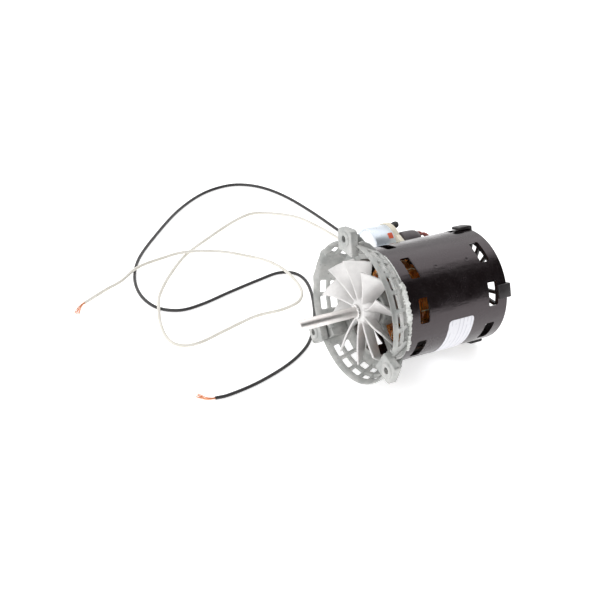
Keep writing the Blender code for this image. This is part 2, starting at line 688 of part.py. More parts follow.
def jumpers(material, motor):
    """Two brown wires from the boot over the shell into a rear slot, down to the winding."""
    for number, offset in ((1, 0.0), (2, 3.2)):
        route = (
            polar(53.0 + offset, -54.0, 92.4),
            polar(52.5 + offset, -51.5 - offset, 95.0),
            polar(47.0 + offset / 2, -49.5 - offset, 96.5),
            polar(40.5, -49.5 - offset, 95.5),
            polar(37.4, -49.5 - offset, 93.0),
        )
        tube(f"jumper_wire_{number}", smooth_route(route, 2.4), 0.9, material, motor)


# ---- leads, grommet and label --------------------------------------------------------------------


def lead_grommet(material, motor):
    """A rubber bush in the shell's lead hole, with a groove for the wall."""
    profile = ((0, 3.4), (4.6, 3.4), (5.6, 2.6), (5.6, 0.3), (4.0, 0.3))
    profile += ((4.0, -1.6), (5.2, -1.6), (5.2, -3.2), (0, -3.2))
    bm = turned(bmesh.new(), profile, 28)
    lift = Matrix.Rotation(math.radians(GROMMET_ANGLE), 4, "Y") @ Matrix.Translation((0, GROMMET_Y, SHELL_R))
    bmesh.ops.transform(bm, verts=bm.verts, matrix=lift @ Matrix.Rotation(math.radians(90), 4, "X"))
    finish_mesh("lead_grommet", bm, material, motor)


LABEL_FIRST = 24
LABEL_COLUMNS = 14


def rating_label(material, motor):
    """A plain label wrapped on the shell, on the shell's own facets."""
    low, high = SHELL_R + 0.06, SHELL_R + 0.3
    stations = (((high, 56), (low, 56)), ((high, 78), (low, 78)))
    after = LABEL_FIRST + LABEL_COLUMNS
    label = lattice(bmesh.new(), stations, shell_angles(), lambda column, row: LABEL_FIRST <= column < after)
    finish_mesh("rating_label", label, material, motor)


def leads(black, white, copper):
    spacing = 11.5
    tube("black_lead", smooth_route(BLACK_ROUTE, spacing), LEAD_R, black, None)
    tube("white_lead", smooth_route(WHITE_ROUTE, spacing), LEAD_R, white, None)
    tube("black_lead_copper", smooth_route(BLACK_BARE_ROUTE, 3.0), 0.75, copper, None)
    tube("white_lead_copper", smooth_route(WHITE_BARE_ROUTE, 3.0), 0.75, copper, None)


def main():
    clear_scene()
    cast = make_material("cast_aluminium", (0.50, 0.50, 0.49), 0.45, 0.9)
    black_paint = make_material("black_paint", (0.035, 0.03, 0.032), 0.35)
    steel = make_material("steel", (0.62, 0.58, 0.56), 0.25, 1.0)
    lamination = make_material("lamination_steel", (0.16, 0.16, 0.17), 0.5, 0.9)
    winding = make_material("enamelled_wire", (0.55, 0.16, 0.03), 0.35, 0.3)
    nylon = make_material("fan_nylon", (0.72, 0.70, 0.69), 0.45)
    brass = make_material("cage_brass", (0.65, 0.48, 0.2), 0.4, 1.0)
    rubber = make_material("black_rubber", (0.03, 0.03, 0.03), 0.7)
    brown = make_material("brown_insulation", (0.24, 0.08, 0.06), 0.5)
    copper = make_material("bare_copper", (0.72, 0.33, 0.18), 0.35, 1.0)
    white = make_material("white_insulation", (0.82, 0.80, 0.76), 0.45)
    black = make_material("black_insulation", (0.02, 0.02, 0.02), 0.45)
    paper = make_material("label_paper", (0.85, 0.85, 0.87), 0.5)
    capacitor_materials = {
        "can": make_material("can_aluminium", (0.72, 0.77, 0.82), 0.3, 0.8),
        "film": make_material("capacitor_film", (0.7, 0.68, 0.6), 0.5),
        "clamp": make_material("clamp_plastic", (0.78, 0.72, 0.6), 0.5),
        "zinc": make_material("zinc_plate", (0.5, 0.52, 0.52), 0.4, 0.9),
        "boot": make_material("boot_rubber", (0.10, 0.09, 0.095), 0.6),
        "rubber": rubber,
        "mark": make_material("mark_red", (0.75, 0.16, 0.08), 0.5),
    }
    motor = make_empty("motor_axis")
    spin = make_empty("rotor_axis", motor)
    front_cage = make_empty("front_cage_axis", motor)
    rear_cage = make_empty("rear_cage_axis", motor)

    front_bracket(cast, motor)
    shell(black_paint, motor)
    rear_endshield(black_paint, motor)
    through_bolts(steel, motor)
    stator_core(lamination, motor)
    stator_winding(winding, motor)
    rotor(lamination, cast, spin)
    shaft(steel, spin)
    fan(nylon, spin)
    shaft_ring("fan_collar", 3.2, FAN_HUB_FRONT - TOUCH_GAP, 5.4, steel, spin)
    shaft_ring("front_snap_ring", 29.6, 30.6, 5.6, steel, spin)
    shaft_ring("rear_snap_ring", 97.2, 98.2, 5.6, steel, spin)
    ball_bearing("front", FRONT_BEARING, steel, brass, motor, spin, front_cage)
    ball_bearing("rear", REAR_BEARING, steel, brass, motor, spin, rear_cage)
    wave_washer(steel, motor)
    capacitor(capacitor_materials, motor)
    capacitor_boot(capacitor_materials, motor)
    jumpers(brown, motor)
    lead_grommet(rubber, motor)
    rating_label(paper, motor)
    leads(black, white, copper)
    lay_down(motor)
    bpy.context.view_layer.update()


main()
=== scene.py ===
"""Looks for a combustion fan motor: a blower motor with a cooling fan, a bracket, a capacitor and two leads.

Pieces of the motor are modelled in the motor's own axes and in millimetres: +Y runs along the shaft to the
rear, +Z points at the top lug, and the origin is on the shaft's axis in the plane of the bracket's front
face. Each finished piece is then laid down with the motor, in metres. Angles about the shaft run from the
top lug toward +X.
"""

from __future__ import annotations

import logging
import math
from dataclasses import dataclass
from enum import Enum
from typing import Callable, Sequence

import bmesh
import bpy
from mathutils import Matrix, Vector

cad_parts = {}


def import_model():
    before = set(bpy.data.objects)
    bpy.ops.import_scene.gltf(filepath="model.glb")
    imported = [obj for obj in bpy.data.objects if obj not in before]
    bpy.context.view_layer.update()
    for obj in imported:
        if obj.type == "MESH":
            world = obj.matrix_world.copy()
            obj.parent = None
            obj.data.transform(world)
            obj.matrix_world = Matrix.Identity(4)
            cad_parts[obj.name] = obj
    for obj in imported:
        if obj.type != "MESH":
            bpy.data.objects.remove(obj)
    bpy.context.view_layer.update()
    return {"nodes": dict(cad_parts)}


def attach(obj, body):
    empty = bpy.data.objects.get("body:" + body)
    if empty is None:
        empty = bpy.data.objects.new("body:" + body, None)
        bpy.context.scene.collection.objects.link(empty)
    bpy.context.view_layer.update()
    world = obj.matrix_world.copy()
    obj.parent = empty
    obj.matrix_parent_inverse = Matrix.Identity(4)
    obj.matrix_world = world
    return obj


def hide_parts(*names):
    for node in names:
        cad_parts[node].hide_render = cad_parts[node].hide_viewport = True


LOG = logging.getLogger("combustion_fan")
MM = 0.001
FULL_TURN = math.tau


class Body(Enum):
    """The motor's bodies, which turn on their own joints."""

    FRAME = "motor_frame"
    ROTOR = "rotor"


@dataclass(frozen=True)
class MotorAxes:
    """How the motor lies: rolled about its shaft, its rear end tilted down, and set on the surface."""

    origin: tuple[float, float, float] = (4.1, -35.45, 52.55)
    roll: float = math.radians(16.7)
    tilt: float = math.radians(4.983934)

    def matrix(self) -> Matrix:
        """Returns the motor's axes, in millimetres, as seen from the surface, in metres."""
        turn = Matrix.Rotation(-self.tilt, 4, "X") @ Matrix.Rotation(-self.roll, 4, "Y")
        return Matrix.Translation(Vector(self.origin) * MM) @ turn @ Matrix.Scale(MM, 4)

    def polar(self, radius: float, degrees: float, y: float) -> Vector:
        """Gives a point about the shaft.

        Args:
            radius: Distance from the shaft's axis.
            degrees: Angle from the top lug toward +X.
            y: Distance behind the bracket's front face.

        Returns:
            The point in the motor's axes.
        """
        angle = math.radians(degrees)
        return Vector((radius * math.sin(angle), y, radius * math.cos(angle)))


AXES = MotorAxes()


# ---- materials -----------------------------------------------------------------------------------


class Signal:
    """A socket's value inside a material, on which maths is written as plain expressions."""

    def __init__(self, shader: "Shader", socket: bpy.types.NodeSocket) -> None:
        """Wraps one output socket."""
        self.shader = shader
        self.socket = socket

    def maths(self, operation: str, first: "Signal | float", second: "Signal | float" = 0.0) -> "Signal":
        """Adds a Math node.

        Args:
            operation: The node's operation.
            first: Its first value.
            second: Its second value, where it has one.

        Returns:
            The node's result.
        """
        return self.shader.node("ShaderNodeMath", {"operation": operation}, {0: first, 1: second})

    def __add__(self, other: "Signal | float") -> "Signal":
        """Adds."""
        return self.maths("ADD", self, other)

    def __sub__(self, other: "Signal | float") -> "Signal":
        """Subtracts."""
        return self.maths("SUBTRACT", self, other)

    def __rsub__(self, other: float) -> "Signal":
        """Subtracts from a number."""
        return self.maths("SUBTRACT", other, self)

    def __mul__(self, other: "Signal | float") -> "Signal":
        """Multiplies."""
        return self.maths("MULTIPLY", self, other)

    def __pow__(self, other: float) -> "Signal":
        """Raises to a power."""
        return self.maths("POWER", self, other)

    __radd__ = __add__
    __rmul__ = __mul__

    def wave(self) -> "Signal":
        """Returns the sine."""
        return self.maths("SINE", self)

    def above(self, level: float, softness: float) -> "Signal":
        """Fades from 0 to 1 about a level.

        Args:
            level: Where the middle of the fade lies.
            softness: How wide the fade is.

        Returns:
            The mask.
        """
        values = {0: self, 1: level - softness / 2, 2: level + softness / 2}
        settings = {"interpolation_type": "SMOOTHSTEP"}
        return self.shader.node("ShaderNodeMapRange", settings, values)


class Shader:
    """One material with a Principled surface and the nodes that vary it."""

    def __init__(self, name: str) -> None:
        """Starts an empty material."""
        self.material = bpy.data.materials.new(name)
        self.material.use_nodes = True
        self.tree = self.material.node_tree
        self.surface = self.tree.nodes["Principled BSDF"]

    def node(
        self, kind: str, settings: dict | None = None, inputs: dict | None = None, out: int = 0
    ) -> Signal:
        """Adds any node.

        Args:
            kind: The node's type.
            settings: Its own settings, which are set first; "stops" are a ramp's (position, colour) pairs.
            inputs: Values or signals for its sockets, by name or number.
            out: The number of the output that is wanted.

        Returns:
            That output.
        """
        made = self.tree.nodes.new(kind)
        for key, value in (settings or {}).items():
            if key == "stops":
                points = made.color_ramp.elements
                for index, (position, colour) in enumerate(value):
                    stop = points[index] if index < len(points) else points.new(position)
                    stop.position = position
                    stop.color = (*colour, 1.0)
            else:
                setattr(made, key, value)
        for key, value in (inputs or {}).items():
            if isinstance(value, Signal):
                self.tree.links.new(value.socket, made.inputs[key])
            else:
                made.inputs[key].default_value = value
        return Signal(self, made.outputs[out])

    def place(self) -> Signal:
        """Returns the motor's own coordinates, in millimetres."""
        return self.node(
            "ShaderNodeMapping",
            {"vector_type": "TEXTURE"},
            {
                0: self.node("ShaderNodeTexCoord", out=3),
                1: Vector(AXES.origin) * MM,
                2: AXES.matrix().to_euler(),
                3: (MM, MM, MM),
            },
        )

    def split(self, place: Signal) -> tuple[Signal, Signal, Signal]:
        """Returns a place's three coordinates."""
        made = self.node("ShaderNodeSeparateXYZ", None, {0: place})
        outputs = made.socket.node.outputs
        return made, Signal(self, outputs[1]), Signal(self, outputs[2])

    def noise(self, place: Signal, scale: float, detail: float = 2.0, roughness: float = 0.5) -> Signal:
        """Adds a noise pattern.

        Args:
            place: The coordinates that it reads.
            scale: How many features there are in a millimetre.
            detail: How many finer layers are added.
            roughness: How strong those are.

        Returns:
            The pattern, about 0.5.
        """
        return self.node("ShaderNodeTexNoise", None, {0: place, 2: scale, 3: detail, 4: roughness})

    def tint(self, share: Signal, first: Sequence[float], second: Sequence[float] | Signal) -> Signal:
        """Mixes two colours.

        Args:
            share: How much of the second colour there is.
            first: The first colour, or a signal.
            second: The second colour, or a signal.

        Returns:
            The mixed colour.
        """
        pair = [c if isinstance(c, Signal) else (*c, 1.0) for c in (first, second)]
        return self.node("ShaderNodeMix", {"data_type": "RGBA"}, {0: share, 6: pair[0], 7: pair[1]}, 2)

    def relief(self, height: Signal, depth: float) -> None:
        """Makes a height pattern the surface's relief, with its depth in millimetres."""
        bump = self.node("ShaderNodeBump", None, {"Height": height, "Strength": 1.0, "Distance": depth * MM})
        self.tree.links.new(bump.socket, self.surface.inputs["Normal"])

    def drive(self, socket: str, value: Signal) -> None:
        """Links a signal to one of the surface's sockets."""
        self.tree.links.new(value.socket, self.surface.inputs[socket])


@dataclass(frozen=True)
class Finish:
    """A finish: its steady values, and a pattern that varies colour, gloss and relief."""

    name: str
    slot: str
    colour: tuple[float, float, float]
    shade: tuple[float, float, float]
    roughness: float
    metallic: float = 0.0
    coat: float = 0.0
    ior: float = 1.5
    mirror_tint: tuple[float, float, float] = (1.0, 1.0, 1.0)
    grain: float = 1.0
    depth: float = 0.02
    spread: float = 0.08

    def make(self) -> bpy.types.Material:
        """Returns the finish as a material."""
        shader = Shader(self.name)
        steady = {
            "Metallic": self.metallic, "Coat Weight": self.coat, "Coat Roughness": 0.08, "IOR": self.ior
        }
        for socket, value in steady.items():
            shader.surface.inputs[socket].default_value = value
        shader.surface.inputs["Specular Tint"].default_value = (*self.mirror_tint, 1.0)
        self.pattern(shader)
        return shader.material

    def pattern(self, shader: Shader) -> None:
        """Cloudy colour and gloss over a fine grain."""
        place = shader.place()
        clouds = shader.noise(place, self.grain * 0.12, 4.0, 0.6)
        fine = shader.noise(place, self.grain, 3.0, 0.6)
        shader.drive("Base Color", shader.tint(clouds.above(0.5, 0.5), self.colour, self.shade))
        shader.drive("Roughness", fine * (2 * self.spread) + (self.roughness - self.spread))
        shader.relief(fine, self.depth)


@dataclass(frozen=True)
class CastFinish(Finish):
    """Die-cast metal: a dull skin with flow marks, small pits and brighter rubbed patches."""

    def pattern(self, shader: Shader) -> None:
        """Flow marks, pits and clouds."""
        place = shader.place()
        clouds = shader.noise(place, 0.09, 4.0, 0.62)
        flow = shader.noise(place, 0.45, 4.0, 0.7)
        skin = shader.noise(place, 2.2, 3.0, 0.6)
        pits = 1 - shader.node("ShaderNodeTexVoronoi", None, {0: place, 2: 0.33}).above(0.22, 0.1)
        dull = shader.tint(clouds.above(0.5, 0.34), self.colour, self.shade)
        dark = [0.55 * c for c in self.shade]
        shader.drive("Base Color", shader.tint(pits * flow.above(0.52, 0.1) * 0.6, dull, dark))
        shader.drive("Roughness", clouds * 0.3 + skin * 0.16 + (self.roughness - 0.23))
        shader.relief(flow * 0.8 + skin * 0.35 - pits * 0.3, self.depth)


@dataclass(frozen=True)
class DipPaint(Finish):
    """Thick gloss black paint with orange peel, sags and dust."""

    def pattern(self, shader: Shader) -> None:
        """Orange peel over broad sags, with dull smears and specks."""
        place = shader.place()
        x, y, z = shader.split(place)
        around = shader.node("ShaderNodeMath", {"operation": "ARCTAN2"}, {0: x, 1: z})
        drawn = shader.node("ShaderNodeCombineXYZ", None, {0: around * 42.0, 1: y * 0.35, 2: 0.0})
        sags = shader.noise(drawn, 0.11, 3.0, 0.55)
        peel = shader.noise(place, 0.9, 2.0, 0.5)
        smears = shader.noise(place, 0.05, 5.0, 0.65)
        specks = shader.noise(place, 2.6, 1.0, 0.4).above(0.735, 0.05)
        paint = shader.tint(smears.above(0.55, 0.35), self.colour, self.shade)
        shader.drive("Base Color", shader.tint(specks * 0.25, paint, (0.25, 0.23, 0.22)))
        shader.drive("Roughness", smears.above(0.52, 0.4) * 0.16 + specks * 0.2 + self.roughness)
        shader.relief(sags * 1.0 + peel * 0.16, self.depth)


@dataclass(frozen=True)
class TurnedSteel(Finish):
    """Ground steel with fine marks round the shaft and a few scratches along it."""

    def pattern(self, shader: Shader) -> None:
        """Grinding lines and scratches."""
        place = shader.place()
        x, y, z = shader.split(place)
        lines = shader.node("ShaderNodeCombineXYZ", None, {0: x * 0.12, 1: y * 5.0, 2: z * 0.12})
        rings = shader.noise(lines, 1.0, 3.0, 0.6)
        haze = shader.noise(place, 0.12, 4.0, 0.6)
        shader.drive("Base Color", shader.tint(haze.above(0.52, 0.4), self.colour, self.shade))
        shader.drive("Roughness", rings * 0.12 + haze * 0.12 + (self.roughness - 0.1))
        shader.relief(rings, self.depth)


@dataclass(frozen=True)
class WireFinish(Finish):
    """Enamelled wire laid round the shaft, under varnish."""

    def pattern(self, shader: Shader) -> None:
        """Rows of wire that wander, with painted shade between them."""
        place = shader.place()
        x, y, z = shader.split(place)
        radius = shader.node("ShaderNodeMath", {"operation": "SQRT"}, {0: x * x + z * z})
        wander = shader.noise(place, 0.16, 2.0, 0.5)
        rows = (radius * 5.2 + y * 4.6 + wander * 16.0).wave() * 0.5 + 0.5
        clouds = shader.noise(place, 0.25, 3.0, 0.6)
        wire = shader.tint(clouds.above(0.5, 0.4), self.colour, self.shade)
        # The gaps between the rows are painted near black: painted shade between the wires.
        shader.drive("Base Color", shader.tint(rows ** 0.6, [0.3 * c for c in self.shade], wire))
        shader.drive("Roughness", clouds * 0.25 + (self.roughness - 0.12))
        shader.relief(rows, self.depth)


@dataclass(frozen=True)
class StackFinish(Finish):
    """Thin steel sheets stacked along the shaft."""

    def pattern(self, shader: Shader) -> None:
        """One dark line between each two sheets."""
        place = shader.place()
        _, y, _ = shader.split(place)
        sheets = (y * (FULL_TURN / 0.65)).wave().above(-0.35, 0.7)
        clouds = shader.noise(place, 0.3, 3.0, 0.6)
        shader.drive("Base Color", shader.tint(sheets * (clouds * 0.5 + 0.6), self.shade, self.colour))
        shader.drive("Roughness", clouds * 0.2 + self.roughness)
        shader.relief(sheets, self.depth)


@dataclass(frozen=True)
class LabelFinish(Finish):
    """A plain paper label with a border and faint ruled lines across the shaft."""

    def pattern(self, shader: Shader) -> None:
        """Ruled lines of uneven length over slightly mottled paper."""
        place = shader.place()
        x, y, z = shader.split(place)
        around = shader.node("ShaderNodeMath", {"operation": "ARCTAN2"}, {0: x, 1: z}) * 42.0
        lines = (y * (FULL_TURN / 3.4)).wave().above(0.62, 0.35)
        breaks = shader.node("ShaderNodeCombineXYZ", None, {0: around * 0.12, 1: y * 0.3, 2: 3.0})
        there = shader.noise(breaks, 1.0, 1.0, 0.5).above(0.44, 0.08)
        inside = y.above(58.0, 0.4) * (1 - y.above(76.4, 0.4))
        mottle = shader.noise(place, 0.7, 3.0, 0.6)
        paper = shader.tint(mottle, self.colour, self.shade)
        shader.drive("Base Color", shader.tint(lines * there * inside * 0.34, paper, (0.36, 0.36, 0.42)))
        shader.drive("Roughness", mottle * 0.12 + self.roughness)
        shader.relief(mottle, self.depth)


FINISHES = {
    finish.name: finish
    for finish in (
        CastFinish(
            "bracket_casting", "cast_aluminium", (0.50, 0.50, 0.485), (0.36, 0.37, 0.36), 0.46, 0.5,
            depth=0.16
        ),
        CastFinish(
            "flash_metal", "cast_aluminium", (0.80, 0.81, 0.79), (0.62, 0.63, 0.60), 0.5, 0.2, depth=0.3
        ),
        CastFinish(
            "rotor_casting", "cast_aluminium", (0.6, 0.6, 0.6), (0.45, 0.45, 0.45), 0.4, 0.8, depth=0.08
        ),
        DipPaint(
            "shell_paint", "black_paint", (0.008, 0.0055, 0.006), (0.012, 0.009, 0.010), 0.15, ior=1.65,
            mirror_tint=(1.0, 0.87, 0.92), depth=0.3
        ),
        CastFinish(
            "endshield_paint", "black_paint", (0.02, 0.017, 0.018), (0.028, 0.025, 0.026), 0.42, depth=0.1
        ),
        TurnedSteel("shaft_steel", "steel", (0.86, 0.83, 0.81), (0.74, 0.70, 0.68), 0.36, 1.0, depth=0.01),
        TurnedSteel("bearing_steel", "steel", (0.7, 0.69, 0.68), (0.55, 0.54, 0.53), 0.24, 1.0, depth=0.008),
        Finish("bolt_steel", "steel", (0.5, 0.49, 0.47), (0.34, 0.33, 0.32), 0.38, 1.0, grain=2.0),
        StackFinish(
            "stator_sheets", "lamination_steel", (0.3, 0.3, 0.31), (0.06, 0.055, 0.055), 0.42, 0.8, depth=0.1
        ),
        WireFinish(
            "winding_wire", "enamelled_wire", (1.0, 0.42, 0.08), (0.74, 0.17, 0.02), 0.3, 0.7, coat=0.5,
            depth=0.25
        ),
        Finish(
            "lacing_cord", "enamelled_wire", (0.72, 0.62, 0.42), (0.55, 0.42, 0.25), 0.7, grain=3.0, depth=0.1
        ),
        Finish(
            "fan_moulding", "fan_nylon", (0.74, 0.725, 0.715), (0.66, 0.645, 0.64), 0.34, 0.28, coat=0.12,
            grain=1.6, depth=0.02
        ),
        Finish("cage_metal", "cage_brass", (0.62, 0.45, 0.18), (0.5, 0.35, 0.14), 0.35, 1.0, grain=2.0),
        Finish(
            "can_metal", "can_aluminium", (0.74, 0.80, 0.87), (0.66, 0.72, 0.79), 0.3, 0.55, grain=0.8,
            depth=0.01
        ),
        # The can's end is the can's own aluminium painted near white: a painted highlight for the strong
        # light on its face.
        Finish(
            "can_end_painted_highlight", "can_aluminium", (0.93, 0.94, 0.95), (0.86, 0.88, 0.90), 0.34, 0.3, grain=0.8,
            depth=0.02
        ),
        Finish("wound_film", "capacitor_film", (0.68, 0.66, 0.58), (0.5, 0.48, 0.42), 0.5),
        Finish(
            "cream_moulding", "clamp_plastic", (0.80, 0.75, 0.63), (0.72, 0.66, 0.53), 0.45, grain=1.5,
            depth=0.02
        ),
        Finish(
            "zinc_sheet", "zinc_plate", (0.62, 0.65, 0.65), (0.48, 0.51, 0.52), 0.32, 0.85, grain=0.6,
            depth=0.02
        ),
        Finish(
            "boot_rubber", "boot_rubber", (0.105, 0.088, 0.092), (0.075, 0.063, 0.068), 0.48, grain=1.8,
            depth=0.05
        ),
        Finish(
            "black_rubber", "black_rubber", (0.03, 0.029, 0.029), (0.045, 0.043, 0.042), 0.6, grain=2.0,
            depth=0.05
        ),
        Finish("red_mark", "mark_red", (0.80, 0.13, 0.045), (0.68, 0.1, 0.04), 0.45, grain=2.0),
        Finish("brown_sleeve", "brown_insulation", (0.36, 0.10, 0.08), (0.26, 0.07, 0.055), 0.42, grain=1.2),
        Finish(
            "black_sleeve", "black_insulation", (0.022, 0.021, 0.022), (0.034, 0.032, 0.033), 0.36, grain=0.7,
            depth=0.03
        ),
        Finish(
            "white_sleeve", "white_insulation", (0.80, 0.775, 0.72), (0.70, 0.67, 0.60), 0.4, grain=0.7,
            depth=0.03
        ),
        Finish("copper_strand", "bare_copper", (0.86, 0.42, 0.24), (0.62, 0.25, 0.13), 0.3, 1.0, grain=2.0),
        LabelFinish("label_paper", "label_paper", (0.84, 0.84, 0.88), (0.77, 0.77, 0.82), 0.42, depth=0.01),
    )
}


class Paintbox:
    """Makes each finish once, and puts it on pieces."""

    def __init__(self) -> None:
        """Starts with no finish made."""
        self.made: dict[str, bpy.types.Material] = {}

    def material(self, name: str) -> bpy.types.Material:
        """Returns a finish's material, which is made the first time."""
        if name not in self.made:
            self.made[name] = FINISHES[name].make()
        return self.made[name]

    def dress(self, piece: bpy.types.Object, name: str) -> bpy.types.Object:
        """Gives a new piece its finish.

        Args:
            piece: The piece.
            name: The finish's name.

        Returns:
            The same piece.
        """
        piece.data.materials.clear()
        piece.data.materials.append(self.material(name))
        return piece


PAINT = Paintbox()


# ---- modelling bench -----------------------------------------------------------------------------


class Bench:
    """Blender's modelling operators, used a step at a time on one piece."""

    @staticmethod
    def clear() -> None:
        """Leaves edit mode and deselects everything."""
        if bpy.context.object and bpy.context.object.mode != "OBJECT":
            bpy.ops.object.mode_set(mode="OBJECT")
        bpy.ops.object.select_all(action="DESELECT")

    @classmethod
    def take(cls, piece: bpy.types.Object) -> None:
        """Selects one piece and makes it active."""
        cls.clear()
        piece.select_set(True)
        bpy.context.view_layer.objects.active = piece

    @classmethod
    def name(cls, piece: bpy.types.Object, name: str) -> bpy.types.Object:
        """Names a piece and its mesh."""
        piece.name = piece.data.name = name
        return piece

    @classmethod
    def chain(cls, points: Sequence[Vector], closed: bool = False) -> bpy.types.Object:
        """Draws a line of edges by extruding one vertex, and stays in edit mode.

        Args:
            points: Where the line goes.
            closed: True if it returns to its first point.

        Returns:
            The line's object.
        """
        cls.clear()
        bpy.ops.mesh.primitive_plane_add(size=1.0)
        piece = bpy.context.object
        bpy.ops.object.mode_set(mode="EDIT")
        bpy.ops.mesh.select_all(action="SELECT")
        bpy.ops.mesh.merge(type="CENTER")
        bpy.ops.transform.translate(value=Vector(points[0]))
        route = [*points, points[0]] if closed else points
        for before, after in zip(route, route[1:]):
            step = Vector(after) - Vector(before)
            bpy.ops.mesh.extrude_vertices_move(TRANSFORM_OT_translate={"value": step})
        bpy.ops.mesh.select_all(action="SELECT")
        bpy.ops.mesh.remove_doubles(threshold=1e-4)
        return piece

    @classmethod
    def close_mesh(cls) -> None:
        """Merges doubles and turns the faces out, then leaves edit mode."""
        bpy.ops.mesh.select_all(action="SELECT")
        bpy.ops.mesh.remove_doubles(threshold=1e-4)
        bpy.ops.mesh.normals_make_consistent(inside=False)
        bpy.ops.object.mode_set(mode="OBJECT")

    @classmethod
    def lathe(
        cls, profile: Sequence[tuple[float, float]], steps: int, centre: tuple[float, float] = (0.0, 0.0)
    ) -> bpy.types.Object:
        """Turns a profile about a line along Y.

        Args:
            profile: Points (radius, y); a solid's starts and ends at radius 0, and a ring's is a loop.
            steps: How many facets go round.
            centre: Where the line is, as (x, z).

        Returns:
            A closed piece.
        """
        x, z = centre
        closed = profile[0][0] != 0
        piece = cls.chain([Vector((x, y, z + radius)) for radius, y in profile], closed)
        bpy.ops.mesh.spin(steps=steps, angle=FULL_TURN, center=(x, 0, z), axis=(0, 1, 0))
        cls.close_mesh()
        return piece

    @classmethod
    def prism(cls, outline: Sequence[Vector], along: Vector) -> bpy.types.Object:
        """Draws an outline out into a solid.

        Args:
            outline: The corners of a flat face.
            along: How far and which way it is drawn.

        Returns:
            A closed piece.
        """
        piece = cls.chain(outline, closed=True)
        bpy.ops.mesh.edge_face_add()
        bpy.ops.mesh.extrude_region_move(TRANSFORM_OT_translate={"value": Vector(along)})
        cls.close_mesh()
        return piece

    @classmethod
    def block(cls, low: Sequence[float], high: Sequence[float]) -> bpy.types.Object:
        """Makes a block between two corners, by stretching a cube."""
        cls.clear()
        centre = [(a + b) / 2 for a, b in zip(low, high)]
        bpy.ops.mesh.primitive_cube_add(size=1.0, location=centre)
        piece = bpy.context.object
        piece.scale = [b - a for a, b in zip(low, high)]
        bpy.ops.object.transform_apply(location=True, rotation=True, scale=True)
        return piece

    @classmethod
    def move(cls, piece: bpy.types.Object, matrix: Matrix) -> bpy.types.Object:
        """Applies a placement to a piece's mesh."""
        cls.take(piece)
        piece.matrix_world = matrix
        bpy.ops.object.transform_apply(location=True, rotation=True, scale=True)
        return piece

    @classmethod
    def turn(cls, piece: bpy.types.Object, degrees: float) -> bpy.types.Object:
        """Turns a piece about the shaft."""
        return cls.move(piece, Matrix.Rotation(math.radians(degrees), 4, "Y"))

    @classmethod
    def copies(cls, piece: bpy.types.Object, angles: Sequence[float]) -> bpy.types.Object:
        """Repeats a piece about the shaft.

        Args:
            piece: The piece as it stands at the top lug.
            angles: Where its copies go.

        Returns:
            One piece that holds all the copies.
        """
        made = []
        for angle in angles:
            cls.take(piece)
            bpy.ops.object.duplicate(linked=False)
            made.append(cls.turn(bpy.context.object, angle))
        cls.drop(piece)
        return cls.join(made)

    @classmethod
    def join(cls, pieces: Sequence[bpy.types.Object]) -> bpy.types.Object:
        """Joins pieces into the first one."""
        cls.take(pieces[0])
        for piece in pieces[1:]:
            piece.select_set(True)
        if len(pieces) > 1:
            bpy.ops.object.join()
        return pieces[0]

    @classmethod
    def drop(cls, piece: bpy.types.Object) -> None:
        """Removes a helper."""
        cls.clear()
        bpy.data.objects.remove(piece, do_unlink=True)

    @classmethod
    def modify(cls, piece: bpy.types.Object, kind: str, **settings: object) -> bpy.types.Object:
        """Adds a modifier and applies it.

        Args:
            piece: The piece that it changes.
            kind: The modifier's type.
            **settings: The modifier's own settings.

        Returns:
            The same piece.
        """
        cls.take(piece)
        bpy.ops.object.modifier_add(type=kind)
        modifier = piece.modifiers[-1]
        for key, value in settings.items():
            setattr(modifier, key, value)
        bpy.ops.object.modifier_apply(modifier=modifier.name)
        return piece

    @classmethod
    def cut(cls, piece: bpy.types.Object, tool: bpy.types.Object, keep: bool = False) -> bpy.types.Object:
        """Cuts a piece with a tool, or keeps only what lies in the tool.

        Args:
            piece: The piece.
            tool: What cuts it, which is then removed.
            keep: True to keep the shared part.

        Returns:
            The same piece.
        """
        operation = "INTERSECT" if keep else "DIFFERENCE"
        cls.modify(piece, "BOOLEAN", object=tool, operation=operation, solver="EXACT", use_self=True)
        cls.drop(tool)
        return piece

    @classmethod
    def ease(
        cls, piece: bpy.types.Object, width: float, segments: int = 2, angle: float = 35
    ) -> bpy.types.Object:
        """Rounds the sharp edges of a piece."""
        settings = {"width": width, "segments": segments, "limit_method": "ANGLE", "harden_normals": False}
        return cls.modify(piece, "BEVEL", angle_limit=math.radians(angle), **settings)

    @classmethod
    def finish(
        cls, piece: bpy.types.Object, name: str, finish: str, body: Body, nodes: Sequence[str]
    ) -> None:
        """Lays a finished piece down with the motor, and says what it is.

        Args:
            piece: The piece in the motor's axes.
            name: Its name.
            finish: The name of its finish.
            body: The body that it moves with.
            nodes: The frame's nodes that it stands for.
        """
        cls.move(piece, AXES.matrix())
        bpy.ops.object.shade_smooth_by_angle(angle=math.radians(32))
        cls.name(piece, name)
        PAINT.dress(piece, finish)
        if nodes:
            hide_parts(*nodes)
        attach(piece, body.value)
        LOG.info("%s: %d faces", name, len(piece.data.polygons))

    @classmethod
    def wire(cls, points: Sequence[Vector], radius: float, sides: int = 3) -> bpy.types.Object:
        """Makes a round wire along a line of points.

        Args:
            points: The line's points.
            radius: The wire's radius.
            sides: The curve's bevel resolution.

        Returns:
            A curve of one open spline with closed ends.
        """
        cls.clear()
        curve = bpy.data.curves.new("wire", "CURVE")
        curve.dimensions = "3D"
        curve.bevel_depth = radius
        curve.bevel_resolution = sides
        curve.use_fill_caps = True
        spline = curve.splines.new("POLY")
        spline.points.add(len(points) - 1)
        for point, place in zip(spline.points, points):
            point.co = (*place, 1.0)
        piece = bpy.data.objects.new("wire", curve)
        bpy.context.scene.collection.objects.link(piece)
        return piece

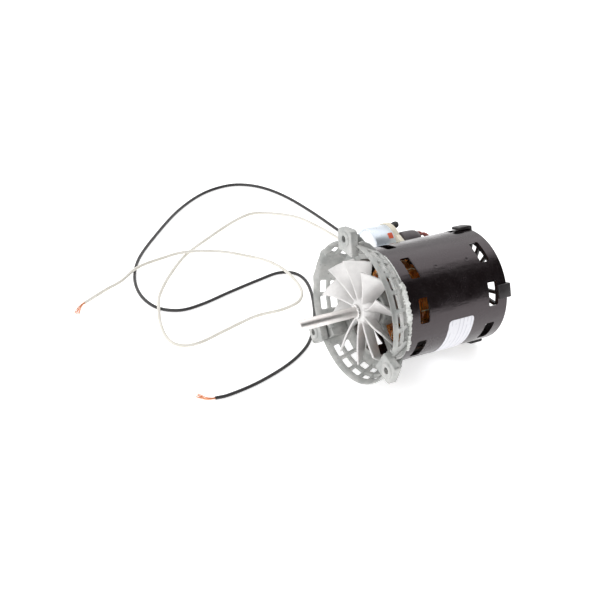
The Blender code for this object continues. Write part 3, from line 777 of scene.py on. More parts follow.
    @classmethod
    def solid(cls, wire: bpy.types.Object) -> bpy.types.Object:
        """Turns a wire into a mesh whose end caps are part of it."""
        cls.take(wire)
        bpy.ops.object.convert(target="MESH")
        piece = bpy.context.object
        bpy.ops.object.mode_set(mode="EDIT")
        cls.close_mesh()
        return piece


def rounded(width: float, height: float, radius: float, corner_steps: int = 5) -> list[tuple[float, float]]:
    """Gives the outline of a rectangle with round corners, about its middle.

    Args:
        width: Its whole width.
        height: Its whole height.
        radius: The corners' radius.
        corner_steps: How many edges each corner has.

    Returns:
        The outline's points.
    """
    points = []
    for quarter, (sx, sy) in enumerate(((1, 1), (-1, 1), (-1, -1), (1, -1))):
        for step in range(corner_steps + 1):
            angle = (quarter + step / corner_steps) * math.pi / 2
            x = sx * (width / 2 - radius) + radius * math.cos(angle)
            points.append((x, sy * (height / 2 - radius) + radius * math.sin(angle)))
    return points


def smooth_route(points: Sequence[Sequence[float]], steps: int) -> list[Vector]:
    """Gives points on a smooth curve through a route.

    Args:
        points: The route.
        steps: How many points each stretch has.

    Returns:
        The curve's points.
    """
    route = [Vector(point) for point in points]
    padded = [route[0] * 2 - route[1], *route, route[-1] * 2 - route[-2]]
    result = []
    for p0, p1, p2, p3 in zip(padded, padded[1:], padded[2:], padded[3:]):
        for step in range(steps):
            t = step / steps
            bend = (2 * p0 - 5 * p1 + 4 * p2 - p3) * t**2 + (3 * p1 - p0 - 3 * p2 + p3) * t**3
            result.append((2 * p1 + (p2 - p0) * t + bend) / 2)
    return [*result, route[-1]]


# ---- studio --------------------------------------------------------------------------------------


@dataclass
class Studio:
    """The camera, the pale floor, the softboxes and the room round them."""

    camera_place: tuple[float, float, float] = (0.5563, -0.4105, 0.5394)
    right: tuple[float, float, float] = (0.5011, 0.8650, 0.0243)
    down: tuple[float, float, float] = (0.5134, -0.2746, -0.8130)
    forward: tuple[float, float, float] = (-0.6966, 0.4199, -0.5817)
    lens: float = 69.87
    sensor: float = 36.0
    floor_size: float = 14.0
    flag: tuple[float, float, float] = (0.706, 0.42, 0.571)
    flag_reach: float = 36.0
    room_light: float = 1.0
    table_glow: float = 0.62

    def set_camera(self) -> None:
        """Stands the camera at the viewing angle."""
        data = bpy.data.cameras.new("camera")
        data.sensor_width = self.sensor
        data.lens = self.lens
        camera = bpy.data.objects.new("camera", data)
        bpy.context.scene.collection.objects.link(camera)
        columns = (Vector(self.right), -Vector(self.down), -Vector(self.forward))
        camera.matrix_world = Matrix.Translation(self.camera_place) @ Matrix(columns).transposed().to_4x4()
        bpy.context.scene.camera = camera

    def softbox(
        self, name: str, place: Sequence[float], aim: Sequence[float], size: tuple[float, float], watts: float
    ) -> None:
        """Hangs a softbox.

        Args:
            name: Its name.
            place: Where it hangs.
            aim: The point that it faces.
            size: Its width and height.
            watts: Its power.
        """
        data = bpy.data.lights.new(name, "AREA")
        data.shape = "RECTANGLE"
        data.size, data.size_y = size
        data.energy = watts
        light = bpy.data.objects.new(name, data)
        light.location = place
        light.rotation_euler = (Vector(aim) - Vector(place)).to_track_quat("-Z", "Y").to_euler()
        light.visible_camera = False
        bpy.context.scene.collection.objects.link(light)

    def lay_floor(self) -> None:
        """Lays the plain pale floor, which is faintly lit from below."""
        Bench.clear()
        bpy.ops.mesh.primitive_plane_add(size=self.floor_size, location=(0, 0, -0.0002))
        floor = Bench.name(bpy.context.object, "floor")
        shader = Shader("pale_floor")
        shader.surface.inputs["Base Color"].default_value = (0.93, 0.93, 0.93, 1)
        shader.surface.inputs["Roughness"].default_value = 0.75
        shader.surface.inputs["Emission Color"].default_value = (1, 1, 1, 1)
        shader.surface.inputs["Emission Strength"].default_value = self.table_glow
        floor.data.materials.append(shader.material)

    def light_room(self) -> None:
        """Fills the room with even light and hangs one dark flag in it, which the black shell mirrors."""
        world = bpy.data.worlds.new("room")
        bpy.context.scene.world = world
        world.use_nodes = True
        tree = world.node_tree
        background = tree.nodes["Background"]
        seen = tree.nodes.new("ShaderNodeLightPath")
        mix = tree.nodes.new("ShaderNodeMix")
        mix.data_type = "RGBA"
        mix.inputs[7].default_value = (1.0, 1.0, 1.0, 1)
        way = tree.nodes.new("ShaderNodeTexCoord")
        facing = tree.nodes.new("ShaderNodeVectorMath")
        facing.operation = "DOT_PRODUCT"
        facing.inputs[1].default_value = self.flag
        fade = tree.nodes.new("ShaderNodeMapRange")
        fade.interpolation_type = "SMOOTHSTEP"
        fade.inputs[1].default_value = math.cos(math.radians(self.flag_reach + 7))
        fade.inputs[2].default_value = math.cos(math.radians(self.flag_reach - 7))
        fade.inputs[3].default_value = self.room_light
        fade.inputs[4].default_value = 0.02
        tree.links.new(way.outputs["Generated"], facing.inputs[0])
        tree.links.new(facing.outputs["Value"], fade.inputs[0])
        tree.links.new(fade.outputs[0], mix.inputs[6])
        tree.links.new(seen.outputs["Is Camera Ray"], mix.inputs[0])
        tree.links.new(mix.outputs[2], background.inputs["Color"])

    def build(self) -> None:
        """Sets up the whole studio."""
        self.set_camera()
        self.lay_floor()
        self.light_room()
        self.softbox("ceiling_softbox", (-0.9, 0.9, 1.7), (-0.25, 0.15, 0.0), (2.2, 2.2), 9)
        self.softbox("front_softbox", (0.9, -1.7, 1.5), (0.0, 0.0, 0.05), (1.3, 1.3), 9)
        self.softbox("left_softbox", (-1.6, -1.0, 1.0), (-0.05, -0.02, 0.05), (1.2, 1.0), 4)
        view = bpy.context.scene.view_settings
        view.view_transform = "Standard"
        view.look = "None"


# ---- leads ---------------------------------------------------------------------------------------


@dataclass(frozen=True)
class LeadRoute:
    """One lead: its route over the surface in millimetres, its bare end and where it leaves the motor."""

    name: str
    finish: str
    exit: tuple[float, float, float]
    route: tuple[tuple[float, float, float], ...]
    bare: tuple[tuple[float, float, float], ...]
    splay: float


LEADS = (
    LeadRoute(
        "black_lead",
        "black_sleeve",
        (-41.3, 59.5, 42.5),
        (
            (-42.1, 59.5, 42.4), (-58, 60, 38.5), (-82, 61, 21), (-108, 62.5, 6.8), (-128, 62, 2.5),
            (-146, 61, 1.5), (-165, 59, 1.4), (-199, 54.5, 1.4), (-232, 47.5, 1.4), (-256, 37, 1.4),
            (-271, 22, 1.4), (-276, 4, 1.4), (-272, -20, 1.4), (-256, -50, 1.4), (-230, -82, 1.4),
            (-203, -110, 1.4), (-178, -125, 1.4), (-153, -130.5, 1.4), (-132, -126, 1.4), (-120.5, -112, 1.4),
            (-119.5, -93, 1.4), (-124, -66, 1.4), (-128, -38, 1.4), (-129.5, -19, 1.4), (-123, -7.5, 1.4),
            (-110, -4.5, 1.4), (-90, -10, 1.4), (-64, -23, 1.4), (-41, -40, 1.4), (-29, -55, 1.4),
            (-20, -75, 1.4), (-13.5, -101, 1.4), (-11.5, -124, 1.4), (-13, -135, 1.4),
        ),
        ((-12.9, -134, 1.4), (-13.6, -137, 1.4), (-16, -141, 1.4), (-22, -145, 1.4)),
        0.9,
    ),
    LeadRoute(
        "white_lead",
        "white_sleeve",
        (-41.3, 55.55, 42.9),
        (
            (-42.1, 55.5, 42.7), (-58, 55, 37), (-80, 55.5, 18), (-104, 56.5, 5.8), (-130, 55, 1.8),
            (-154, 52, 1.4), (-180, 45.5, 1.4), (-198, 38, 1.4), (-212, 24, 1.4), (-221.5, 7, 1.4),
            (-218, -13, 1.4), (-206, -41, 1.4), (-189, -74, 1.4), (-168, -98.5, 1.4), (-146, -116.5, 3.6),
            (-131, -125, 4.7), (-110, -133, 2.6), (-90, -135.5, 1.4), (-78.5, -129, 1.4), (-76, -115, 1.4),
            (-80.5, -92, 1.4), (-85.5, -64, 1.4), (-83.5, -41, 1.4), (-87, -24, 1.4), (-98, -15, 1.9),
            (-114, -13.5, 3.8), (-129, -15, 4.7), (-146, -19.5, 3.6), (-164, -30, 1.5), (-179, -48, 2.7),
            (-188.5, -74, 4.7), (-190.5, -95, 3.8), (-186, -119, 4.7), (-177.5, -137, 2.4),
            (-173.5, -152, 1.4), (-164.5, -173.5, 1.4),
        ),
        ((-165, -172.5, 1.4), (-163.6, -175.5, 1.4), (-160.2, -179.5, 1.5), (-154, -184, 1.6)),
        1.3,
    ),
)


@dataclass
class Leads:
    """The two loose leads with their stripped ends of twisted copper strands."""

    radius: float = 1.3
    strand_radius: float = 0.2
    strands: int = 9

    def strand_routes(self, lead: LeadRoute) -> list[list[Vector]]:
        """Gives the twisted and slightly splayed strands of a bare end.

        Args:
            lead: The lead.

        Returns:
            One line of points for each strand, in metres.
        """
        centre = smooth_route(lead.bare, 8)
        routes = []
        for strand in range(self.strands):
            turn = FULL_TURN * strand / self.strands
            ring = 0.0 if strand == 0 else 0.5
            line = []
            for index, point in enumerate(centre):
                share = index / (len(centre) - 1)
                after = centre[min(index + 1, len(centre) - 1)]
                before = centre[max(index - 1, 0)]
                ahead = (after - before).normalized()
                side = ahead.cross(Vector((0, 0, 1))).normalized()
                reach = ring * (1 + lead.splay * share**2 * (0.4 + 0.6 * math.sin(strand * 2.4) ** 2))
                angle = turn + 2.4 * share
                lift = side * math.cos(angle) * reach * (1 + share) + Vector((0, 0, math.sin(angle) * reach))
                line.append((point + lift) * MM)
            routes.append(line)
        return routes

    def build(self) -> None:
        """Lays both leads."""
        for lead in LEADS:
            points = [point * MM for point in smooth_route(lead.route, 10)]
            cord = Bench.name(Bench.wire(points, self.radius * MM, 4), f"{lead.name}_sleeve")
            PAINT.dress(cord, lead.finish)
            strands = [
                Bench.solid(Bench.wire(line, self.strand_radius * MM, 2))
                for line in self.strand_routes(lead)
            ]
            copper = Bench.name(Bench.join(strands), f"{lead.name}_strands")
            Bench.take(copper)
            bpy.ops.object.shade_smooth_by_angle(angle=math.radians(50))
            PAINT.dress(copper, "copper_strand")
            for piece, node in ((cord, lead.name), (copper, f"{lead.name}_copper")):
                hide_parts(node)
                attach(piece, Body.FRAME.value)
            length = sum((b - a).length for a, b in zip(points, points[1:]))
            LOG.info("%s: %.0f mm", lead.name, length / MM)


# ---- bracket -------------------------------------------------------------------------------------


@dataclass
class FrontBracket:
    """The die-cast ring with its windowed cone, three lugs, six arms and the bearing's hub."""

    lug_angles: tuple[int, ...] = (0, 120, 240)
    lug_circle: float = 55.2
    lug_face: float = -3.0
    boss_face: float = -3.85
    hole_radius: float = 2.4
    bolt_angles: tuple[float, ...] = (59.5, 149.5, 239.5, 329.5)
    bays: int = 24
    closed_wall: tuple[float, float] = (285.0, 315.0)
    pad_middle: float = 300.0
    beads: tuple[tuple[int, int, float, int], ...] = (
        (52, 90, 2.1, 3), (88, 100, 1.2, 4), (100, 116, 1.8, 8), (20, 52, 0.5, 5), (150, 215, 0.4, 9),
    )

    def ring(self) -> bpy.types.Object:
        """Turns the ring and its cone, and pulls out the flat pad on its left."""
        outer = ((51.7, 0.6), (52.2, 0.6), (52.3, 2.4), (51.8, 5.0), (49.5, 9.9), (48.6, 11.6), (45.6, 17.2))
        outer += ((44.2, 19.9),)
        outer += ((40.4, 19.9), (40.2, 22.2), (35.6, 22.2))
        inner = (
            (35.6, 18.8), (38.0, 18.8), (39.5, 18.8), (41.0, 17.9), (43.2, 16.6), (46.1, 11.6), (47.0, 9.9)
        )
        inner += ((49.5, 4.8), (49.8, 3.6))
        ring = Bench.lathe(outer + inner, 240)
        Bench.ease(ring, 0.45, 2, 25)
        self.pull_pad(ring)
        return ring

    def pull_pad(self, ring: bpy.types.Object) -> None:
        """Pulls two corners out of the front ring, so that a flat lies between them."""
        Bench.take(ring)
        bpy.ops.object.mode_set(mode="EDIT")
        for column in range(-14, 15):
            across = column * 1.5
            reach = 1.4 * max(0.0, 1 - abs(abs(across) - 14) / 6)
            if not reach:
                continue
            angle = self.pad_middle + across
            mesh = bmesh.from_edit_mesh(ring.data)
            for vertex in mesh.verts:
                radius = math.hypot(vertex.co.x, vertex.co.z)
                place = math.degrees(math.atan2(vertex.co.x, vertex.co.z)) % 360
                near = abs((place - angle + 180) % 360 - 180) < 0.4
                vertex.select = near and radius > 50 and vertex.co.y < 5.2
            mesh.select_flush_mode()
            bmesh.update_edit_mesh(ring.data)
            bpy.ops.transform.translate(value=AXES.polar(reach, angle, 0))
        bpy.ops.object.mode_set(mode="OBJECT")

    def window_tools(self) -> bpy.types.Object:
        """Returns the tools that cut the two rows of windows."""
        angles = []
        for bay in range(self.bays):
            angle = 7.5 + bay * 360 / self.bays
            near_lug = any(abs((angle - lug + 180) % 360 - 180) < 9 for lug in self.lug_angles)
            if not near_lug and not self.closed_wall[0] < angle < self.closed_wall[1]:
                angles.append(angle)
        rows = []
        for width, low, high, depth in ((10.5, 5.1, 9.9, 43.0), (9.7, 11.7, 17.0, 39.0)):
            middle = (low + high) / 2
            outline = [Vector((x, middle + y, depth)) for x, y in rounded(width, high - low, 0.9, 3)]
            rows.append(Bench.copies(Bench.prism(outline, Vector((0, 0, 14))), angles))
        return Bench.join(rows)

    def marks(self) -> bpy.types.Object:
        """Returns the tools that press the small round ejector marks into the cone."""
        tools = []
        for angle in range(15, 360, 15):
            if min(abs((angle - lug + 180) % 360 - 180) for lug in self.lug_angles) < 12:
                continue
            place = AXES.polar(44.2, angle, 18.1)
            tool = Bench.lathe(((0, 0), (0.75, 0), (0.75, 3.4), (0, 3.4)), 12)
            turn = Matrix.Rotation(math.radians(angle), 4, "Y") @ Matrix.Rotation(math.radians(62), 4, "X")
            tools.append(Bench.move(tool, Matrix.Translation(place) @ turn))
        return Bench.join(tools)

    def lug(self) -> bpy.types.Object:
        """Models one lug at the top: its block, the raised boss and the webs behind."""
        front = self.lug_face
        outline = [
            (-8.5, 46.5), (8.5, 43.5), (8.5, 58.8), (7.8, 61.2), (5.6, 62.3), (-5.6, 62.3), (-7.8, 61.2)
        ]
        outline += [(-8.5, 58.8)]
        block = Bench.prism([Vector((x, front, z)) for x, z in outline], Vector((0, 6.0, 0)))
        Bench.ease(block, 0.8, 3)
        boss = ((2.0, self.boss_face + 0.6), (2.9, self.boss_face), (5.0, self.boss_face), (5.8, front - 0.2))
        boss += ((6.1, 0.5), (2.0, 0.5))
        parts = [block, Bench.lathe(boss, 48, (0, self.lug_circle))]
        web = [(4, 44.5), (4, 58.5), (8, 57), (13, 50.5), (18, 45.6), (18.6, 42.5), (12, 43.5)]
        for x, thick in ((-2.4, 4.8), (-8.2, 2.4), (5.8, 2.4)):
            side = Bench.prism(
                [Vector((x, y, z if thick > 4 else min(z, 53.0))) for y, z in web], Vector((thick, 0, 0))
            )
            parts.append(Bench.ease(side, 0.5))
        lug = Bench.join(parts)
        hole = ((0, 12), (self.hole_radius, 12), (self.hole_radius, -8), (0, -8))
        return Bench.cut(lug, Bench.lathe(hole, 32, (0, self.lug_circle)))

    def inner_boss(self) -> bpy.types.Object:
        """Models the block inside the ring behind the left lug, with its slanted notch."""
        block = Bench.block((-7.6, 4.0, 40.0), (7.6, 17.0, 48.2))
        notch = Bench.prism(
            [Vector((-2.0, y, z)) for y, z in ((3, 39), (13, 39), (3, 45))], Vector((4.2, 0, 0))
        )
        return Bench.turn(Bench.ease(Bench.cut(block, notch), 0.5), 240)

    def hub(self) -> list[bpy.types.Object]:
        """Models the bearing's hub, the six arms that carry it and the bosses for the through bolts."""
        profile = (
            (8.4, 18.6), (13.2, 18.6), (14.4, 19.2), (14.8, 20.4), (14.4, 30.0), (13.9, 30.4), (11.05, 30.4)
        )
        hub = Bench.lathe(profile + ((11.05, 22.15), (8.4, 22.15)), 96)
        outline = [(-3.4, 13.0), (3.4, 13.0), (2.3, 24.0), (3.2, 36.8), (-3.2, 36.8), (-2.3, 24.0)]
        arm = Bench.ease(Bench.prism([Vector((x, 18.7, z)) for x, z in outline], Vector((0, 3.4, 0))), 0.7)
        arms = Bench.copies(arm, [22.5 + 60 * number for number in range(6)])
        boss = Bench.ease(
            Bench.lathe(((2.3, 19.0), (4.6, 19.0), (4.4, 27.0), (2.3, 27.0)), 32, (0, 37.2)), 0.3
        )
        return [Bench.ease(hub, 0.3), arms, Bench.copies(boss, self.bolt_angles)]

    def flash(self) -> bpy.types.Object:
        """Models the rough beads of flash and sealant where the cone meets the shell."""
        beads = []
        for first, last, thick, seed in self.beads:
            points = [
                AXES.polar(44.4 + thick * 0.5, first + step, 20.0 - thick * 0.6)
                for step in range(last - first + 1)
            ]
            bead = Bench.solid(Bench.wire(points, thick, 2))
            bpy.ops.object.mode_set(mode="EDIT")
            bpy.ops.mesh.select_all(action="SELECT")
            bpy.ops.transform.vertex_random(offset=thick * 0.55, uniform=0.4, normal=0.6, seed=seed)
            bpy.ops.object.mode_set(mode="OBJECT")
            beads.append(Bench.modify(bead, "SUBSURF", levels=1, render_levels=1))
        return Bench.join(beads)

    def build(self) -> None:
        """Builds the casting and the flash along its joint."""
        ring = Bench.cut(self.ring(), self.window_tools())
        Bench.cut(ring, self.marks())
        lugs = Bench.copies(self.lug(), self.lug_angles)
        casting = Bench.join([ring, lugs, self.inner_boss(), *self.hub()])
        Bench.finish(casting, "bracket_casting", "bracket_casting", Body.FRAME, ["front_bracket"])
        Bench.finish(self.flash(), "bracket_flash", "flash_metal", Body.FRAME, [])


# ---- shell ---------------------------------------------------------------------------------------


@dataclass
class Shell:
    """The rolled tube with two rows of slots, its stake marks, the label and the lead grommet."""

    radius: float = 42.0
    wall: float = 1.2
    front: float = 20.2
    rear: float = 107.8
    slot_rows: tuple[tuple[float, float], ...] = ((30.5, 38.7), (91.2, 99.2))
    slot_phase: float = -7.6
    slot_width: float = 18.2
    grommet_angle: float = -75.5
    grommet_y: float = 93.5

    def tube(self) -> bpy.types.Object:
        """Turns the tube and punches its slots and the leads' hole."""
        inner = self.radius - self.wall
        rim = 0.25
        profile = (
            (inner, self.front), (self.radius - rim, self.front), (self.radius, self.front + rim),
            (self.radius, self.rear - 0.5), (self.radius - 0.4, self.rear), (inner, self.rear),
        )
        tube = Bench.lathe(profile, 360)
        angles = [self.slot_phase + 45 * number for number in range(8)]
        rows = []
        for low, high in self.slot_rows:
            outline = rounded(self.slot_width, high - low, 1.5)
            points = [Vector((x, (low + high) / 2 + y, self.radius - 5)) for x, y in outline]
            rows.append(Bench.copies(Bench.prism(points, Vector((0, 0, 10))), angles))
        hole = Bench.lathe(((0, -6), (4.3, -6), (4.3, 6), (0, 6)), 40)
        rows.append(Bench.move(hole, self.grommet_place()))
        return Bench.cut(tube, Bench.join(rows))

    def grommet_place(self) -> Matrix:
        """Returns the grommet's axes: its own Y points out of the shell."""
        turn = Matrix.Rotation(math.radians(self.grommet_angle), 4, "Y")
        out = Matrix.Translation((0, self.grommet_y, self.radius)) @ Matrix.Rotation(math.pi / 2, 4, "X")
        return turn @ out

    def stakes(self) -> bpy.types.Object:
        """Models the small round stakes that hold the core in the tube."""
        stakes = []
        profile = ((0, -0.3), (0.7, -0.1), (1.1, 0.22), (1.5, 0.28), (1.9, 0.1), (2.1, -0.3))
        for y in (54.0, 81.0):
            for angle in (43, 223, 313):
                stake = Bench.lathe((*profile, (0, -0.5)), 24)
                turn = Matrix.Rotation(math.radians(angle), 4, "Y")
                out = Matrix.Translation((0, y, self.radius)) @ Matrix.Rotation(math.pi / 2, 4, "X")
                stakes.append(Bench.move(stake, turn @ out))
        return Bench.join(stakes)

    def label(self) -> bpy.types.Object:
        """Wraps a thin label with round corners on the shell."""
        low, high = self.radius + 0.05, self.radius + 0.22
        ring = Bench.lathe(((low, 50), (high, 50), (high, 84), (low, 84)), 180)
        outline = [Vector((x, 67.0 + y, 20.0)) for x, y in rounded(48.2, 22.0, 2.4, 6)]
        return Bench.cut(ring, Bench.turn(Bench.prism(outline, Vector((0, 0, 30))), 134.5), keep=True)

    def grommet(self) -> bpy.types.Object:
        """Turns the rubber bush that the leads leave through."""
        profile = (
            (0, 3.0), (2.6, 3.1), (4.4, 3.4), (5.3, 3.0), (5.6, 2.3), (5.6, 0.3), (4.1, 0.3), (4.1, -1.6)
        )
        bush = Bench.lathe((*profile, (5.2, -1.6), (5.0, -3.2), (0, -3.2)), 48)
        return Bench.move(bush, self.grommet_place())

    def build(self) -> None:
        """Builds the tube and what is fitted to it."""
        tube = Bench.join([self.tube(), self.stakes()])
        Bench.finish(tube, "shell_tube", "shell_paint", Body.FRAME, ["shell"])
        Bench.finish(self.label(), "plain_label", "label_paper", Body.FRAME, ["rating_label"])
        Bench.finish(self.grommet(), "lead_bush", "black_rubber", Body.FRAME, ["lead_grommet"])


@dataclass
class RearEndshield:
    """The rear casting with its spokes, hub and hooked ears, and the four through bolts."""

    ear_angles: tuple[int, ...] = (-8, 82, 172, 262)
    bolt_angles: tuple[float, ...] = (59.5, 149.5, 239.5, 329.5)
    bolt_circle: float = 37.4
    spokes: int = 24

    def casting(self) -> bpy.types.Object:
        """Models the rim, the hub, the spokes, the ears and the bolts' bosses."""
        rim = (
            (40.3, 103.4), (40.3, 105.1), (40.0, 105.4), (37.2, 105.4), (34.8, 104.8), (34.8, 102.4),
            (37.2, 103.4)
        )
        hub = (
            (11.05, 98.4), (13.8, 98.4), (14.3, 99.0), (16.4, 101.5), (16.4, 104.0), (14.9, 105.0),
            (14.6, 108.8)
        )
        hub += ((14.0, 109.4), (5.5, 109.4), (5.5, 106.8), (11.05, 106.8))
        spoke = Bench.ease(Bench.block((-1.25, 101.6, 15.2), (1.25, 104.4, 36.0)), 0.5)
        hook = (
            (101.6, 35.4), (101.6, 40.2), (108.1, 40.2), (108.1, 42.3), (98.5, 42.3), (98.5, 44.2),
            (99.2, 44.5)
        )
        hook += ((108.9, 44.5), (109.6, 43.8), (109.6, 36.2), (108.9, 35.4))
        ear = Bench.prism([Vector((-5.1, y, z)) for y, z in hook], Vector((10.2, 0, 0)))
        boss = Bench.lathe(
            ((2.3, 102.0), (3.3, 102.0), (3.3, 105.4), (2.3, 105.4)), 32, (0, self.bolt_circle)
        )
        angles = [10 + number * 360 / self.spokes for number in range(self.spokes)]
        return Bench.join(
            [
                Bench.lathe(rim, 240),
                Bench.ease(Bench.lathe(hub, 96), 0.3),
                Bench.copies(spoke, angles),
                Bench.copies(Bench.ease(ear, 0.4), self.ear_angles),
                Bench.copies(Bench.ease(boss, 0.3), self.bolt_angles),
            ]
        )

    def bolt(self) -> bpy.types.Object:
        """Models a bolt at the top: a hexagon head with a washer face on a plain shank."""
        z = self.bolt_circle
        shank = Bench.lathe(((0, 19.6), (1.7, 19.6), (2.0, 20.2), (2.0, 105.8), (0, 105.8)), 32, (0, z))
        washer = Bench.lathe(((0, 105.7), (3.1, 105.7), (3.1, 106.1), (0, 106.1)), 40, (0, z))
        corners = [AXES.polar(3.0, n * 60, 106.0) + Vector((0, 0, z)) for n in range(6)]
        head = Bench.ease(Bench.prism(corners, Vector((0, 1.9, 0))), 0.3)
        return Bench.join([shank, washer, head])

    def build(self) -> None:
        """Builds the casting and the bolts."""
        Bench.finish(self.casting(), "endshield_casting", "endshield_paint", Body.FRAME, ["rear_endshield"])
        for number, angle in enumerate(self.bolt_angles, start=1):
            bolt = Bench.turn(self.bolt(), angle)
            Bench.finish(bolt, f"long_bolt_{number}", "bolt_steel", Body.FRAME, [f"through_bolt_{number}"])


# ---- rotor and windings --------------------------------------------------------------------------


@dataclass
class CoolingFan:
    """The moulded cooling fan: a small cone for a hub and ten twisted blades that grow out of it."""

    blades: int = 10
    radius: float = 37.8
    phase: float = -48.0
    twist: float = 23.3
    front: float = -0.4
    depth: float = 15.0
    set_back: float = 0.22
    thickness: float = 1.5
    voxel: float = 0.5

    def blade(self) -> bpy.types.Object:
        """Sweeps one blade: a line that is set back toward the hub turns as it moves to the rear."""
        points = []
        for step in range(17):
            radius = 5.0 + step * (self.radius - 5.0) / 16
            back = self.set_back * (self.radius - radius)
            points.append(AXES.polar(radius, self.twist * back / self.depth, self.front + back))
        line = Bench.chain(points)
        bpy.ops.object.mode_set(mode="OBJECT")
        sweep = {"axis": "Y", "screw_offset": self.depth, "steps": 12, "render_steps": 12}
        Bench.modify(line, "SCREW", angle=math.radians(self.twist), use_merge_vertices=False, **sweep)
        Bench.modify(line, "SOLIDIFY", thickness=self.thickness, offset=0.0, use_even_offset=True)
        rear = self.front + self.depth
        return Bench.cut(line, Bench.lathe(((0, -5), (50, -5), (50, rear), (0, rear)), 48), keep=True)

    def build(self) -> None:
        """Builds the fan in one piece, with its blades' roots run into the hub."""
        hub = (
            (4.0, 5.3), (6.3, 5.3), (7.3, 5.9), (8.8, 7.6), (10.4, 9.8), (11.8, 12.4), (12.6, 17.0),
            (4.0, 17.0)
        )
        angles = [self.phase + number * 360 / self.blades for number in range(self.blades)]
        fan = Bench.join([Bench.lathe(hub, 96), Bench.copies(self.blade(), angles)])
        Bench.modify(fan, "REMESH", mode="VOXEL", voxel_size=self.voxel, adaptivity=0.0)
        Bench.modify(fan, "SMOOTH", factor=0.5, iterations=6)
        Bench.finish(fan, "cooling_fan", "fan_moulding", Body.ROTOR, ["fan"])


@dataclass
class Shaft:
    """The ground shaft with its chamfered end and the collar in front of the fan."""

    radius: float = 3.97
    tip: float = -43.3
    end: float = 108.0

    def build(self) -> None:
        """Turns the shaft and its collar."""
        r, tip, end = self.radius, self.tip, self.end
        profile = (
            (0, end), (r - 0.4, end), (r, end - 0.5), (r, tip + 0.9), (r - 0.25, tip + 0.35), (r - 0.8, tip)
        )
        shaft = Bench.lathe((*profile, (0, tip)), 96)
        Bench.finish(shaft, "ground_shaft", "shaft_steel", Body.ROTOR, ["shaft"])
        collar = Bench.lathe(((4.0, 3.2), (4.8, 3.2), (5.4, 3.7), (5.4, 5.2), (4.0, 5.2)), 64)
        Bench.finish(collar, "shaft_collar", "bearing_steel", Body.ROTOR, ["fan_collar"])


@dataclass
class Windings:
    """The stator's end turns: overlapping coils of enamelled wire, tied with lacing cord."""

    coils: int = 24
    span: float = 68.0
    core_middle: float = 65.0

    def coil(self, radius: float, reach: float, thick: float) -> bpy.types.Object:
        """Bends the end of one coil out of its slot, along the core and back.

        Args:
            radius: The coil's distance from the shaft.
            reach: How near the front its end comes.
            thick: The bundle's radius.

        Returns:
            The bundle as a mesh.
        """
        points = []
        for step in range(17):
            share = step / 16
            rise = math.sin(math.pi * share) ** 0.45
            points.append(
                AXES.polar(radius + 1.6 * rise, self.span * (share - 0.5), 47.6 + (reach - 47.6) * rise)
            )
        return Bench.solid(Bench.wire(points, thick, 2))

    def end_turn(self) -> bpy.types.Object:
        """Models all the coils' front ends."""
        pitch = 360 / self.coils
        outer = Bench.copies(self.coil(27.6, 38.6, 2.0), [pitch * n * 2 for n in range(self.coils // 2)])
        inner = Bench.copies(
            self.coil(24.0, 39.6, 1.9), [pitch * (n * 2 + 1) for n in range(self.coils // 2)]
        )
        fill = Bench.lathe(((22.6, 47.4), (22.4, 42), (24, 40.2), (28, 39.6), (30.2, 42), (30.0, 47.4)), 72)
        return Bench.join([outer, inner, fill])

    def lacing(self) -> bpy.types.Object:
        """Models the cord that ties the coils together."""
        points = [
            AXES.polar(26.9 + 4.7 * math.cos(a), 2.2 * math.sin(a / 2), 42.5 + 5.2 * math.sin(a))
            for a in (FULL_TURN * step / 20 for step in range(20))
        ]
        loop = Bench.solid(Bench.wire([*points, points[0]], 0.38, 1))
        return Bench.copies(loop, [7 + number * 20 for number in range(18)])

    def build(self) -> None:
        """Builds both end turns and the coil sides in the core's slots."""
        mirror = Matrix.Translation((0, 2 * self.core_middle, 0)) @ Matrix.Diagonal((1, -1, 1, 1))
        for name, finish, front in (
            ("winding_coils", "winding_wire", self.end_turn()),
            ("winding_lacing", "lacing_cord", self.lacing()),
        ):
            Bench.take(front)
            bpy.ops.object.duplicate(linked=False)
            rear = Bench.move(bpy.context.object, mirror)
            bpy.ops.object.mode_set(mode="EDIT")
            Bench.close_mesh()
            Bench.finish(Bench.join([front, rear]), name, finish, Body.FRAME, [])
        sides = Bench.copies(
            Bench.block((-1.1, 46.0, 25.0), (1.1, 84.0, 31.6)), [67 + 15 * n for n in range(24)]
        )
        Bench.finish(sides, "winding_sides", "winding_wire", Body.FRAME, ["stator_winding"])


# ---- capacitor -----------------------------------------------------------------------------------


